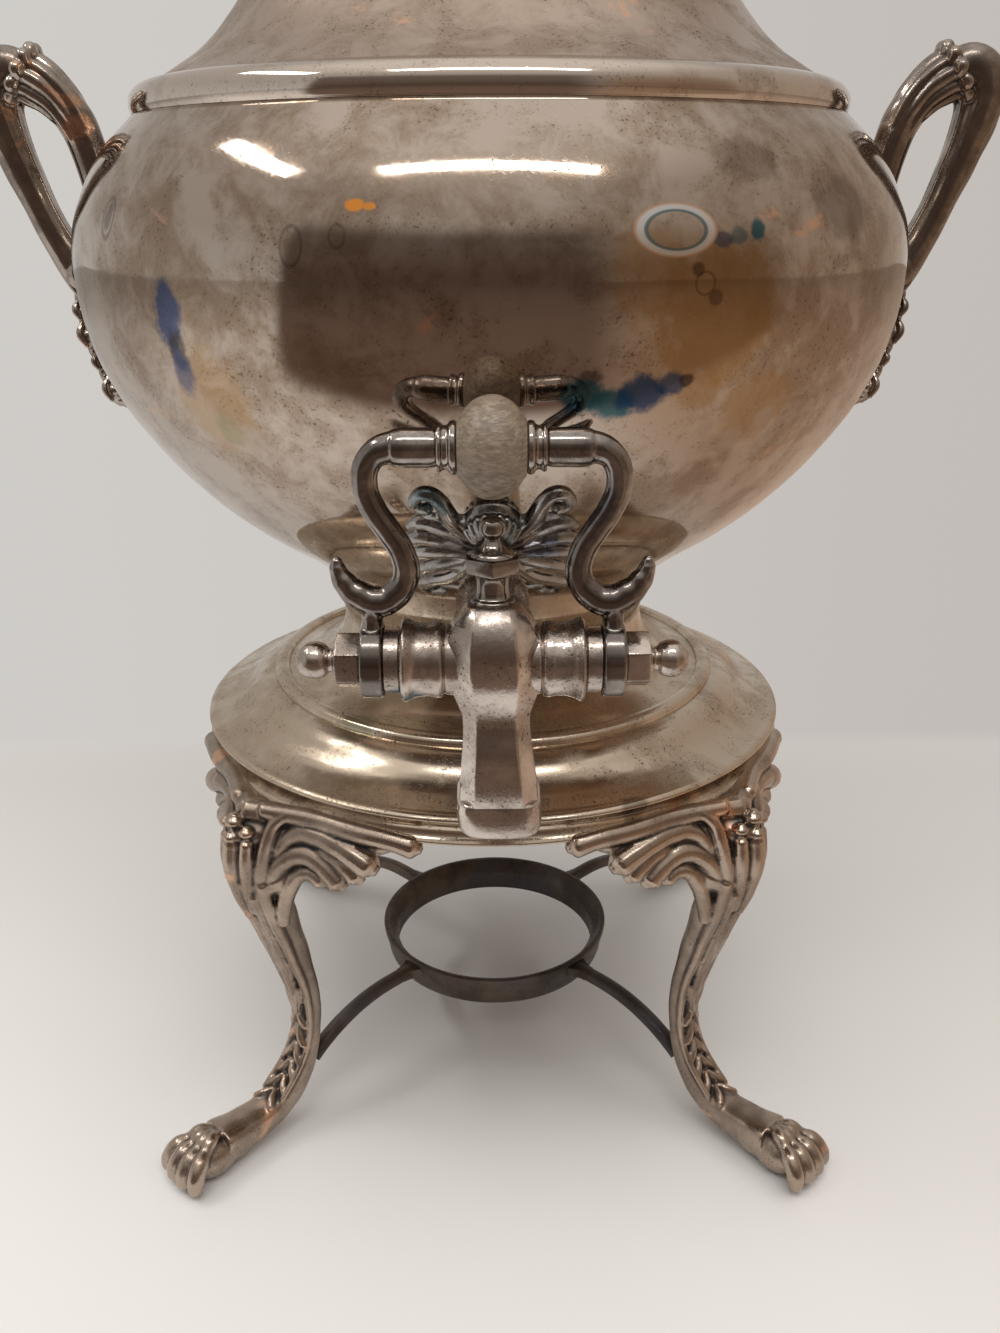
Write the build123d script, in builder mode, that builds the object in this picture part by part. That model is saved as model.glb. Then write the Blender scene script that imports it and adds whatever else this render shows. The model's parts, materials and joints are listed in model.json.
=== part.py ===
from build123d import *
from math import asin, cos, degrees, radians, sin
import os

os.makedirs("parts", exist_ok=True)

# A table samovar of plated brass: a round vessel on a domed foot, four cabriole legs that carry
# an iron burner ring, two loop handles, a lift-off lid and a plug tap with a yoke lever.
# Millimetres, +Z up. The origin is on the table under the vessel's axis, and the tap faces -Y.

# Clearances
lid_clearance = 0.6        # round the lid's bezel, at the radius
plug_clearance = 0.05      # round the tap plug, at the radius
axial_gap = 0.25           # between turning and fixed faces of the tap

# Sheet and base
sheet = 1.2                # thickness of all spun shells
skirt_z = 119.5            # underside of the base rim above the table
rim_r = 96.2               # radius of the base rim
rim_h = 8.0                # height of the base rim
rim_cove = 1.8             # depth of the cove round the rim
dome_rise = 12.0           # from the rim's upper edge to the bead
bead_r = 71.2              # radius of the bead moulding's centre line
bead_wire = 2.3            # radius of the bead moulding's wire
stem_h = 16.7              # from the bead up to the waist of the stem
waist_r = 49.3             # radius of the stem's waist
collar_r = 54.0            # radius of the stem's upper collar
collar_rise = 12.5         # from the waist to the collar
collar_h = 6.0             # straight height of the collar
collar_lap = 1.5           # spare height of the collar, cut away where it meets the vessel

# Vessel, its heights above the top of the collar
bowl_drop = 10.0           # from the collar's top down to the middle of the bottom
bowl_under_r, bowl_under_h = 64.0, 6.0
bowl_low_r, bowl_low_h = 92.2, 29.0
bowl_flank_r, bowl_flank_h = 113.3, 58.0
bowl_r, bowl_wide_h = 120.8, 89.0
bowl_shoulder_r, bowl_shoulder_h = 117.4, 108.0
mouth_r, mouth_h = 100.9, 130.0
mouth_lip_r = 96.0         # bore of the mouth ring
mouth_lip_h = 7.5          # depth of the mouth ring's lip

# Lid
band_r = 101.4             # radius of the polished band at the lid's foot
band_h = 8.2               # height of the band
band_inset = 7.2           # how far the band's quarter round comes in
lid_flare_r, lid_flare_h = 81.0, 16.6
lid_neck_r, lid_neck_h = 64.5, 37.0
lid_crown_r, lid_crown_h = 44.0, 62.0
lid_h = 78.0               # height of the lid's shell above its seat
bezel_h = 8.0              # depth of the bezel below the seat
bezel_t = 1.4
finial_foot_r = 13.0
finial_h = 38.0
finial_knob_r = 10.5
finial_stud_r = 2.5
finial_stud_l = 9.0        # stud below the crown
finial_washer_r = 8.0
finial_washer_t = 1.6
finial_nut_af = 9.0
finial_nut_h = 4.0

# Burner ring and its arms
ring_bore_r = 36.2
ring_wall = 2.5
ring_h = 11.2
ring_flare = 2.8           # how much wider the ring's mouth is than its bore
ring_seat = 6.7            # straight height of the bore
ring_z = 23.3              # underside of the ring above the table
arm_w = 5.4
arm_t = 4.4
arm_flare_w = 13.0         # width where an arm meets the ring
arm_z = 31.2               # height of an arm's centre at the ring
arm_run = 52.0             # radius where an arm starts to bend down
arm_drop_r, arm_drop_z = 86.0, 19.5

# Legs
leg_count = 4
knee_r = 103.0
knee_w, knee_t = 27.0, 16.0
ankle_r, ankle_z = 86.8, 42.0
ankle_w, ankle_t = 8.6, 6.6
foot_r = 132.0             # radius of the middle of a paw
paw_h = 16.5
paw_w = 18.0
paw_l = 22.0
toe_back = 14.0            # how far behind the paw's middle its toes spread from
wing_span = 49.0           # reach of a knee scroll along the rim
wing_t = 5.0
scroll_r = 8.2             # largest lobe of a knee scroll

# Handles, measured out from the vessel's greatest radius
handle_reach = 29.5        # to the outside of the loop
handle_w = 9.2             # tube width across the loop
handle_t = 10.6            # tube thickness in the loop's plane
handle_root_h = 106.0      # upper root above the collar's top
handle_foot_h = 85.0       # lower root above the collar's top
handle_rise = 38.0         # from the upper root to the top of the loop
drop_len = 35.0            # strap of the beaded drop below the lower root
drop_strap_w = 3.6
drop_strap_t = 5.6

# Tap
tap_reach = 130.0          # tap axis from the vessel's axis
tap_z = 188.6              # tap axis above the table
block_w = 23.5
block_top = 12.0           # block above the tap axis
spout_neck_w = 15.6
spout_neck_drop = 12.5     # neck below the tap axis
spout_mouth_w = 19.4
spout_len = 42.0           # from the tap axis to the outlet
ferrule_h = 8.5            # height of the band round the outlet
outlet_r = 6.5
water_r = 3.2              # bore of the water way
shank_w = 17.4
tail_r = 5.0
tail_clearance = 0.1       # round the tail in its socket
tail_out = 9.0             # tail beyond the socket, inside the vessel
tail_washer_t = 1.5
socket_r = 7.5
socket_in = 56.0           # inner end of the socket from the vessel's axis
socket_out = 91.0          # outer end of the socket, where the shank butts
socket_flange_r = 9.6
socket_flange_t = 3.0
lock_nut_af = 13.0
lock_nut_h = 4.5
barrel_half = 20.7
barrel_rim_r = 9.6
barrel_r = 8.6
plug_r = 6.0
collar_w = 3.8             # plug collars outside the barrel
collar_out_r = 7.65
spindle_r = 3.2
eye_w = 5.1
eye_r = 8.7
end_nut_w = 5.7
end_nut_af = 11.6
end_ball_r = 4.35
end_ball_out = 5.0         # ball centre beyond the end nut's hexagon
cap_af = 11.0
cap_flange_h = 3.2
cap_neck_r = 3.4
cap_neck_h = 6.6
cap_ball_r = 2.75

# Lever
lever_h = 48.5             # grip axis above the tap axis
arm_wire_r = 2.9
bar_r = 4.25
grip_r = 11.1
grip_half = 7.4
grip_end_r = 6.3
grip_rod_r = 2.4
grip_gap = 4.0             # least clearance between the grip and the vessel
ferrule_w = 4.3
ferrule_r = 5.7

# Leaf plate behind the tap
leaf_t = 2.6
leaf_rib_t = 4.2
leaf_half_w = 24.0
leaf_top = 32.0            # above the tap axis
leaf_low = 8.0             # below the tap axis

# Heights that follow from the sizes above
rim_top_z = skirt_z + rim_h
bead_z = rim_top_z + dome_rise
waist_z = bead_z + stem_h + bead_wire
collar_z = waist_z + collar_rise
bowl_z = collar_z + collar_h
seat_z = bowl_z + mouth_h
tap_y = -tap_reach
crown_z = seat_z + lid_h

# The lever stands upright, and leans forward only if its grip would come too near the vessel's flank
flank_lean = (bowl_flank_r - bowl_low_r) / (bowl_flank_h - bowl_low_h)
flank_r = bowl_flank_r + flank_lean * (tap_z + lever_h - bowl_z - bowl_flank_h)
lever_lean = asin(max(0.0, flank_r + grip_gap + grip_r - tap_reach) / lever_h)
grip_y = tap_y - lever_h * sin(lever_lean)
grip_z = tap_z + lever_h * cos(lever_lean)


def finish(builder, name):
    """Names one piece and writes it."""
    solid = builder.part
    solid.label = name
    export_step(solid, "parts/" + name + ".step")
    print(name, len(solid.solids()), round(solid.volume, 1))


def round_bar(points, widths, depths):
    """A curved tapering bar in the XZ plane: ellipses square to its line, joined in one skin."""
    path = Spline(*[(x, 0, z) for x, z in points])
    with BuildPart() as bar:
        for (x, z), width, depth in zip(points, widths, depths):
            place = path.param_at_point(Vector(x, 0, z))
            with BuildSketch(Plane(origin=path @ place, x_dir=(0, 1, 0), z_dir=path % place)):
                Ellipse(width / 2, depth / 2)
        loft()
    return bar.part


def both_sides(right, name):
    """Writes a right-hand piece and its mirror image."""
    finish(right, name + "_right")
    with BuildPart() as left:
        mirror(right.part, about=Plane.YZ)
    finish(left, name + "_left")


def beside(curve, gap):
    """A curve that runs at an even gap on the left of another, or on its right for a gap below 0."""
    points = []
    for step in range(17):
        ahead = curve % (step / 16)
        points.append(curve @ (step / 16) + gap * Vector(-ahead.Y, ahead.X))
    return Spline(points, tangents=[curve % 0, curve % 1])


def bowl_line():
    """Half outline of the vessel, from the middle of its bottom to its mouth."""
    return Spline(
        (0, bowl_z - bowl_drop),
        (bowl_under_r, bowl_z + bowl_under_h),
        (bowl_low_r, bowl_z + bowl_low_h),
        (bowl_flank_r, bowl_z + bowl_flank_h),
        (bowl_r, bowl_z + bowl_wide_h),
        (bowl_shoulder_r, bowl_z + bowl_shoulder_h),
        (mouth_r, seat_z),
        tangents=[(1, 0), (-1, 0.75)],
    )


def bowl_core(growth):
    """The vessel as one closed solid, grown by a skin of the given thickness."""
    with BuildPart() as core:
        with BuildSketch(Plane.XZ):
            with BuildLine() as outline:
                if growth:
                    with BuildLine(mode=Mode.PRIVATE) as bare:
                        bowl_line()
                    skin = beside(bare.edges()[0], -growth)
                else:
                    skin = bowl_line()
                Polyline(skin @ 1, (0, seat_z), skin @ 0)
            make_face()
        revolve(axis=Axis.Z)
    return core.part


vessel_core = bowl_core(0)

# Vessel shell, with the hole for the tap's socket
with BuildPart() as body_shell:
    with BuildSketch(Plane.XZ):
        with BuildLine():
            outside = bowl_line()
            inside = beside(outside, sheet)
            Line(outside @ 0, inside @ 0)
            Line(outside @ 1, inside @ 1)
        make_face()
    revolve(axis=Axis.Z)
    with BuildSketch(Plane.XZ.offset(socket_in)):
        with Locations((0, tap_z)):
            Circle(socket_r)
    extrude(amount=tap_reach - socket_in, mode=Mode.SUBTRACT)
finish(body_shell, "body_shell")

# Mouth ring: the flat seat and the lip that the lid's bezel drops into
with BuildPart() as mouth_ring:
    with BuildSketch(Plane.XZ):
        with BuildLine():
            Polyline(
                (mouth_lip_r, seat_z),
                (mouth_lip_r, seat_z - mouth_lip_h),
                (mouth_lip_r + sheet, seat_z - mouth_lip_h),
                (mouth_lip_r + sheet, seat_z - 2 * sheet),
                (mouth_r + 2 * sheet, seat_z - 2 * sheet),
                (mouth_r, seat_z),
                close=True,
            )
        make_face()
    revolve(axis=Axis.Z)
    add(body_shell.part, mode=Mode.SUBTRACT)
    add(vessel_core, mode=Mode.INTERSECT)
finish(mouth_ring, "mouth_ring")

# Stem: the waisted spinning between the vessel and the base
with BuildPart() as foot_stem:
    with BuildSketch(Plane.XZ):
        with BuildLine():
            collar_top = Line((collar_r, bowl_z + collar_lap), (collar_r, collar_z))
            throat = Spline(
                collar_top @ 1,
                (waist_r, waist_z),
                (bead_r - bead_wire, bead_z + sheet),
                tangents=[(-0.15, -1), (1, -0.22)],
            )
            lining = beside(throat, -sheet)
            Line(throat @ 1, lining @ 1)
            Polyline(lining @ 0, (collar_r - sheet, bowl_z + collar_lap), collar_top @ 0)
        make_face()
    revolve(axis=Axis.Z)
    add(vessel_core, mode=Mode.SUBTRACT)
finish(foot_stem, "foot_stem")

# Base dome: a sloping spinning with a coved rim
with BuildPart() as base_dome:
    with BuildSketch(Plane.XZ):
        with BuildLine():
            slope = Spline(
                (bead_r - 3 * bead_wire, bead_z),
                (bead_r + bead_wire, bead_z - 0.1 * dome_rise),
                (rim_r, rim_top_z),
                tangents=[(1, 0), (1, -0.55)],
            )
            edge = Line(slope @ 1, (rim_r, rim_top_z - rim_h / 6))
            cove = ThreePointArc(
                edge @ 1,
                (rim_r - rim_cove, rim_top_z - rim_h / 2),
                (rim_r, skirt_z + rim_h / 6),
            )
            Line(cove @ 1, (rim_r, skirt_z))
            Polyline(
                (rim_r, skirt_z),
                (rim_r - rim_cove - sheet, skirt_z),
                (rim_r - rim_cove - sheet, rim_top_z - sheet),
                (bead_r + bead_wire, bead_z - 0.1 * dome_rise - 1.5 * sheet),
                (bead_r - 3 * bead_wire, bead_z - sheet),
                slope @ 0,
            )
        make_face()
    revolve(axis=Axis.Z)
    add(foot_stem.part, mode=Mode.SUBTRACT)
finish(base_dome, "base_dome")

# Bead moulding soldered over the joint of stem and dome
with BuildPart() as bead_moulding:
    with BuildSketch(Plane.XZ):
        with Locations((bead_r, bead_z)):
            Circle(bead_wire)
    revolve(axis=Axis.Z)
    add(foot_stem.part, mode=Mode.SUBTRACT)
    add(base_dome.part, mode=Mode.SUBTRACT)
finish(bead_moulding, "bead_moulding")

# One leg, made facing +X and turned into its four places
shin_h = skirt_z - ankle_z
shin_in = knee_r - ankle_r
leg_points = [
    (knee_r - 0.12 * shin_in, skirt_z + 0.026 * shin_h),
    (knee_r + 0.05 * shin_in, skirt_z - 0.18 * shin_h),
    (knee_r - 0.216 * shin_in, skirt_z - 0.413 * shin_h),
    (knee_r - 0.593 * shin_in, skirt_z - 0.658 * shin_h),
    (ankle_r, ankle_z),
    (ankle_r + 3.0, 0.56 * ankle_z),
    (0.55 * ankle_r + 0.45 * foot_r, 0.24 * ankle_z),
    (foot_r - 0.65 * paw_l, 0.18 * ankle_z),
    (foot_r, 0.42 * paw_h),
]
leg_widths = [size * knee_w for size in (1.0, 0.85, 0.59, 0.41)]
leg_widths += [size * ankle_w for size in (1.0, 1.09, 1.3, 1.49)] + [0.8 * paw_w]
leg_depths = [size * knee_t for size in (0.62, 1.0, 0.81, 0.56)]
leg_depths += [size * ankle_t for size in (1.0, 1.09, 1.3, 1.42)] + [0.55 * paw_h]
leg_bar = round_bar(leg_points, leg_widths, leg_depths)

# Knee scrolls: lobed wings bent to the rim
with BuildPart() as wings:
    with BuildSketch(Plane.YZ) as wing_outline:
        for side in (-1, 1):
            with Locations((side * 0.42 * wing_span, skirt_z - 0.9 * scroll_r)):
                Circle(scroll_r)
            with Locations((side * 0.68 * wing_span, skirt_z - 0.75 * scroll_r)):
                Circle(0.74 * scroll_r)
            with Locations((side * (wing_span - 0.5 * scroll_r), skirt_z - 0.45 * scroll_r)):
                Circle(0.5 * scroll_r)
        with Locations((0, skirt_z)):
            Rectangle(2 * wing_span - scroll_r, 0.9 * scroll_r, align=(Align.CENTER, Align.MAX))
            Trapezoid(0.84 * wing_span, 2.6 * scroll_r, 116, align=(Align.CENTER, Align.MAX))
    extrude(amount=2 * rim_r)
    with BuildSketch(Plane.XZ):
        with Locations((rim_r - 2.0, skirt_z)):
            Rectangle(wing_t, 4 * scroll_r, align=(Align.MIN, Align.MAX))
    revolve(axis=Axis.Z, mode=Mode.INTERSECT)

# Acanthus leaf over the knee, lapping the rim
with BuildPart() as knee_leaf:
    with BuildSketch(Plane.YZ):
        with BuildLine():
            Line((0, skirt_z - 32.0), (11.0, skirt_z - 15.0))
            ThreePointArc((11.0, skirt_z - 15.0), (16.5, skirt_z - 8.0), (13.0, skirt_z - 2.0))
            ThreePointArc((13.0, skirt_z - 2.0), (13.5, skirt_z + 5.0), (5.5, skirt_z + 4.5))
            ThreePointArc((5.5, skirt_z + 4.5), (3.6, skirt_z + 8.0), (0, skirt_z + 9.5))
            mirror(about=Plane.YZ)
        make_face()
    extrude(amount=2 * rim_r)
    with BuildSketch(Plane.XZ):
        with BuildLine():
            ThreePointArc(
                (rim_r + 1.0, skirt_z + 10.0),
                (knee_r + 8.0, skirt_z - 3.0),
                (knee_r + 6.5, skirt_z - 32.0),
            )
            Polyline(
                (knee_r + 6.5, skirt_z - 32.0),
                (rim_r - 2.0, skirt_z - 32.0),
                (rim_r - 2.0, skirt_z + 10.0),
                (rim_r + 1.0, skirt_z + 10.0),
            )
        make_face()
    revolve(axis=Axis.Z, mode=Mode.INTERSECT)

# One toe, from the middle of the paw over two knuckles down to the claw
toe_points = [
    (toe_back - 0.42 * paw_l, 0.52 * paw_h),
    (toe_back - 0.14 * paw_l, 0.78 * paw_h),
    (toe_back + 0.1 * paw_l, 0.66 * paw_h),
    (toe_back + 0.3 * paw_l, 0.56 * paw_h),
    (toe_back + 0.42 * paw_l, 0.3 * paw_h),
    (toe_back + 0.46 * paw_l, 0.1 * paw_h),
]
toe_widths = [0.16 * paw_w, 0.29 * paw_w, 0.24 * paw_w, 0.29 * paw_w, 0.24 * paw_w, 0.12 * paw_w]
toe = round_bar(toe_points, toe_widths, [1.15 * width for width in toe_widths])

# Pad of the paw, a flattened ball
with BuildPart() as paw_pad:
    with BuildSketch(Plane.XZ):
        Ellipse(0.5 * paw_l, 0.42 * paw_h)
        Rectangle(paw_l, paw_h, align=(Align.CENTER, Align.MIN), mode=Mode.INTERSECT)
    revolve(axis=Axis.X)

with BuildPart() as leg_master:
    add(leg_bar)
    add(wings.part)

    # Volutes that stand proud of the scrolls
    for side in (-1, 1):
        for reach, size in ((0.42, 0.62), (0.68, 0.46), (0.9, 0.3)):
            angle = radians(side * 57.3 * reach * wing_span / rim_r)
            place = rim_r - 2.0 + wing_t
            with BuildSketch(
                Plane(
                    origin=(place * cos(angle), place * sin(angle), skirt_z - 0.8 * scroll_r * size / 0.62),
                    z_dir=(cos(angle), sin(angle), 0),
                )
            ):
                Circle(size * scroll_r)
            extrude(amount=1.6, both=True, taper=12)

    add(knee_leaf.part)
    add(base_dome.part, mode=Mode.SUBTRACT)
    with BuildSketch(Plane.XY.offset(skirt_z)):
        Circle(rim_r - rim_cove)
    extrude(amount=2 * rim_h, mode=Mode.SUBTRACT)

    # Paw: a pad and four toes that spread from its back
    with Locations((foot_r - 0.1 * paw_l, 0, 0.38 * paw_h)):
        add(paw_pad.part)
    for turn in (-17, -5.5, 5.5, 17):
        with Locations(Location((foot_r - toe_back, 0, 0), (0, 0, turn))):
            add(toe)
    split(bisect_by=Plane.XY, keep=Keep.TOP)

leg_names = ["leg_rear_right", "leg_rear_left", "leg_front_left", "leg_front_right"]
legs = []
for index, leg_name in enumerate(leg_names[:leg_count]):
    with BuildPart() as leg:
        with Locations(Rotation(0, 0, 45 + 90 * index)):
            add(leg_master.part)
    legs.append(leg)
    finish(leg, leg_name)

# Burner ring
with BuildPart() as burner_ring:
    with BuildSketch(Plane.XZ):
        with BuildLine():
            Polyline(
                (ring_bore_r, ring_z),
                (ring_bore_r + ring_wall, ring_z),
                (ring_bore_r + ring_wall + ring_flare, ring_z + ring_h),
                (ring_bore_r + ring_flare, ring_z + ring_h),
                (ring_bore_r, ring_z + ring_seat),
                close=True,
            )
        make_face()
    revolve(axis=Axis.Z)
finish(burner_ring, "burner_ring")

# Arms from the ring to the legs: an oval bar that bends down, with webs where it meets the ring
with BuildPart() as arm_master:
    with BuildLine():
        level = Line((ring_bore_r, 0, arm_z), (arm_run, 0, arm_z))
        TangentArc(level @ 1, (arm_drop_r, 0, arm_drop_z), tangent=(1, 0, 0))
    with BuildSketch(Plane.YZ.offset(ring_bore_r)):
        with Locations((0, arm_z)):
            Ellipse(arm_w / 2, arm_t / 2)
    sweep()
    with BuildSketch(Plane.XY.offset(arm_z)):
        with BuildLine():
            root = Line((ring_bore_r, arm_flare_w / 2), (ring_bore_r + ring_wall, arm_flare_w / 2))
            web = ThreePointArc(
                root @ 1,
                (ring_bore_r + 2.2 * ring_wall, 0.66 * arm_w),
                (ring_bore_r + 4.2 * ring_wall, 0.4 * arm_w),
            )
            Polyline(web @ 1, ((web @ 1).X, 0), (ring_bore_r, 0), root @ 0)
        make_face()
        mirror(about=Plane.XZ)
    extrude(amount=0.36 * arm_t, both=True)
    add(burner_ring.part, mode=Mode.SUBTRACT)
    with BuildSketch(Plane.XZ):
        with BuildLine():
            Polyline(
                (0, ring_z),
                (ring_bore_r + ring_wall / 2, ring_z),
                (ring_bore_r + ring_wall / 2 + ring_flare, ring_z + ring_h),
                (0, ring_z + ring_h),
                close=True,
            )
        make_face()
    revolve(axis=Axis.Z, mode=Mode.SUBTRACT)

arm_names = ["ring_arm_rear_right", "ring_arm_rear_left", "ring_arm_front_left", "ring_arm_front_right"]
for index, (arm_name, leg) in enumerate(zip(arm_names, legs)):
    with BuildPart() as ring_arm:
        with Locations(Rotation(0, 0, 45 + 90 * index)):
            add(arm_master.part)
        add(leg.part, mode=Mode.SUBTRACT)
    finish(ring_arm, arm_name)

# One loop handle, made on the +X side: a tapering limb up to a leaf collar, and a limb back down
handle_x = bowl_r + handle_reach
root_z = bowl_z + handle_root_h
top_z = root_z + handle_rise
collar_in = 0.508 * handle_reach
upper_points = [
    (handle_x - 1.153 * handle_reach, root_z - 0.105 * handle_rise),
    (handle_x - 1.102 * handle_reach, root_z + 0.237 * handle_rise),
    (handle_x - 1.034 * handle_reach, root_z + 0.5 * handle_rise),
    (handle_x - 0.831 * handle_reach, root_z + 0.724 * handle_rise),
    (handle_x - collar_in, root_z + 0.868 * handle_rise),
]
upper_bar = round_bar(
    upper_points,
    [0.9 * handle_w, handle_w, handle_w, 1.1 * handle_w, 1.2 * handle_w],
    [0.8 * handle_t, 0.9 * handle_t, handle_t, 1.1 * handle_t, 1.2 * handle_t],
)
foot_z = bowl_z + handle_foot_h
loop_collar_z = top_z - 0.142 * handle_rise
lower_points = [
    (handle_x - collar_in, loop_collar_z),
    (handle_x - 0.271 * handle_reach, top_z - 0.184 * handle_rise),
    (handle_x - 0.203 * handle_reach, top_z - 0.368 * handle_rise),
    (handle_x - 0.305 * handle_reach, top_z - 0.632 * handle_rise),
    (handle_x - 0.454 * handle_reach, foot_z + 0.684 * handle_rise),
    (handle_x - 0.627 * handle_reach, foot_z + 0.316 * handle_rise),
    (handle_x - 0.915 * handle_reach, foot_z - 0.053 * handle_rise),
]
lower_bar = round_bar(
    lower_points,
    [1.2 * handle_w, 1.25 * handle_w, 1.25 * handle_w, 1.15 * handle_w, handle_w, handle_w, 0.9 * handle_w],
    [1.25 * handle_t, 1.2 * handle_t, 1.15 * handle_t, 1.1 * handle_t, handle_t, 0.9 * handle_t, 0.8 * handle_t],
)
with BuildPart() as handle_collar:
    with BuildSketch(Plane(origin=(handle_x - collar_in, 0, loop_collar_z), z_dir=(1, 0, 0.25))):
        Circle(0.72 * handle_t)
    extrude(amount=0.21 * handle_t, both=True)
    chamfer(handle_collar.edges(), length=0.11 * handle_t)

with BuildPart() as handle_master:
    add(upper_bar)
    add(lower_bar)
    add(handle_collar.part)
    add(vessel_core, mode=Mode.SUBTRACT)

for handle_name, turn in (("handle_right", 0), ("handle_left", 180)):
    with BuildPart() as handle:
        with Locations(Rotation(0, 0, turn)):
            add(handle_master.part)
    finish(handle, handle_name)

# Beaded drop under each handle: a strap on the vessel with husks and a hanging pear. Each bead is given
# as shares of the drop's length: how far out, how far below the handle's lower root, and its radius
drop_beads = [
    (0.111, 0.029, 0.126), (0.097, 0.229, 0.143), (0.057, 0.443, 0.137), (0.02, 0.686, 0.086), (-0.054, 0.929, 0.126)
]
with BuildPart() as drop_master:
    with BuildSketch(Plane.YZ.offset(mouth_lip_r)):
        with Locations((0, foot_z)):
            Rectangle(drop_strap_w, drop_len, align=(Align.CENTER, Align.MAX))
    extrude(amount=handle_reach)
    add(bowl_core(drop_strap_t), mode=Mode.INTERSECT)
    for out, down, radius in drop_beads:
        with Locations((bowl_r + out * drop_len, 0, foot_z - down * drop_len)):
            Sphere(radius * drop_len)
    split(bisect_by=Plane.XY.offset(foot_z), keep=Keep.BOTTOM)
    add(vessel_core, mode=Mode.SUBTRACT)
    add(handle_master.part, mode=Mode.SUBTRACT)

for drop_name, turn in (("handle_drop_right", 0), ("handle_drop_left", 180)):
    with BuildPart() as handle_drop:
        with Locations(Rotation(0, 0, turn)):
            add(drop_master.part)
    finish(handle_drop, drop_name)

# Socket soldered through the vessel's wall
with BuildPart() as tap_socket:
    with BuildSketch(Plane.XZ.offset(socket_in)):
        with Locations((0, tap_z)):
            Circle(socket_r)
    extrude(amount=socket_out - socket_in)
    with BuildSketch(Plane.XZ.offset(socket_out - socket_flange_t)):
        with Locations((0, tap_z)):
            Circle(socket_flange_r)
    extrude(amount=socket_flange_t)
    with BuildSketch(Plane.XZ.offset(socket_in)):
        with Locations((0, tap_z)):
            Circle(tail_r + tail_clearance)
    extrude(amount=socket_out - socket_in, mode=Mode.SUBTRACT)
finish(tap_socket, "tap_socket")

# Leaf plate round the socket: a bent plate with two fans of ribs and a scroll at each shoulder
with BuildPart() as leaf_plate:
    with BuildSketch(Plane.XZ):
        with Locations((0, tap_z + 0.5 * leaf_top)):
            Ellipse(leaf_half_w, 0.28 * leaf_top)
            Circle(0.42 * leaf_half_w)
        with Locations((0, tap_z + 0.84 * leaf_top)):
            Circle(0.28 * leaf_half_w)
        with Locations(*[(side * 0.66 * leaf_half_w, tap_z + 0.86 * leaf_top) for side in (-1, 1)]):
            Circle(0.2 * leaf_half_w)
        with Locations(*[(side * 0.45 * leaf_half_w, tap_z + 0.72 * leaf_top) for side in (-1, 1)]):
            Circle(0.34 * leaf_half_w)
        with Locations(*[(side * 0.42 * leaf_half_w, tap_z) for side in (-1, 1)]):
            Ellipse(0.42 * leaf_half_w, leaf_low)
    extrude(amount=tap_reach)
    add(bowl_core(leaf_t), mode=Mode.INTERSECT)

with BuildPart() as leaf_ribs:
    with BuildSketch(Plane.XZ):
        for side in (-1, 1):
            for angle in (36, 19, 3, -13):
                with Locations((side * 0.2 * leaf_half_w, tap_z + 0.46 * leaf_top)):
                    with PolarLocations(0.36 * leaf_half_w, 1, start_angle=90 - side * (90 - angle)):
                        SlotOverall(0.7 * leaf_half_w, 0.1 * leaf_half_w)
        with Locations(*[(side * 0.66 * leaf_half_w, tap_z + 0.86 * leaf_top) for side in (-1, 1)]):
            Circle(0.12 * leaf_half_w)
        with Locations((0, tap_z + 0.84 * leaf_top)):
            Circle(0.16 * leaf_half_w)
    extrude(amount=tap_reach)
    add(bowl_core(leaf_rib_t), mode=Mode.INTERSECT)

with BuildPart() as tap_escutcheon:
    add(leaf_plate.part)
    add(leaf_ribs.part)
    add(vessel_core, mode=Mode.SUBTRACT)
    with BuildSketch(Plane.XZ):
        with Locations((0, tap_z)):
            Circle(socket_r)
    extrude(amount=tap_reach, mode=Mode.SUBTRACT)
    add(tap_socket.part, mode=Mode.SUBTRACT)
finish(tap_escutcheon, "tap_escutcheon")

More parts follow.
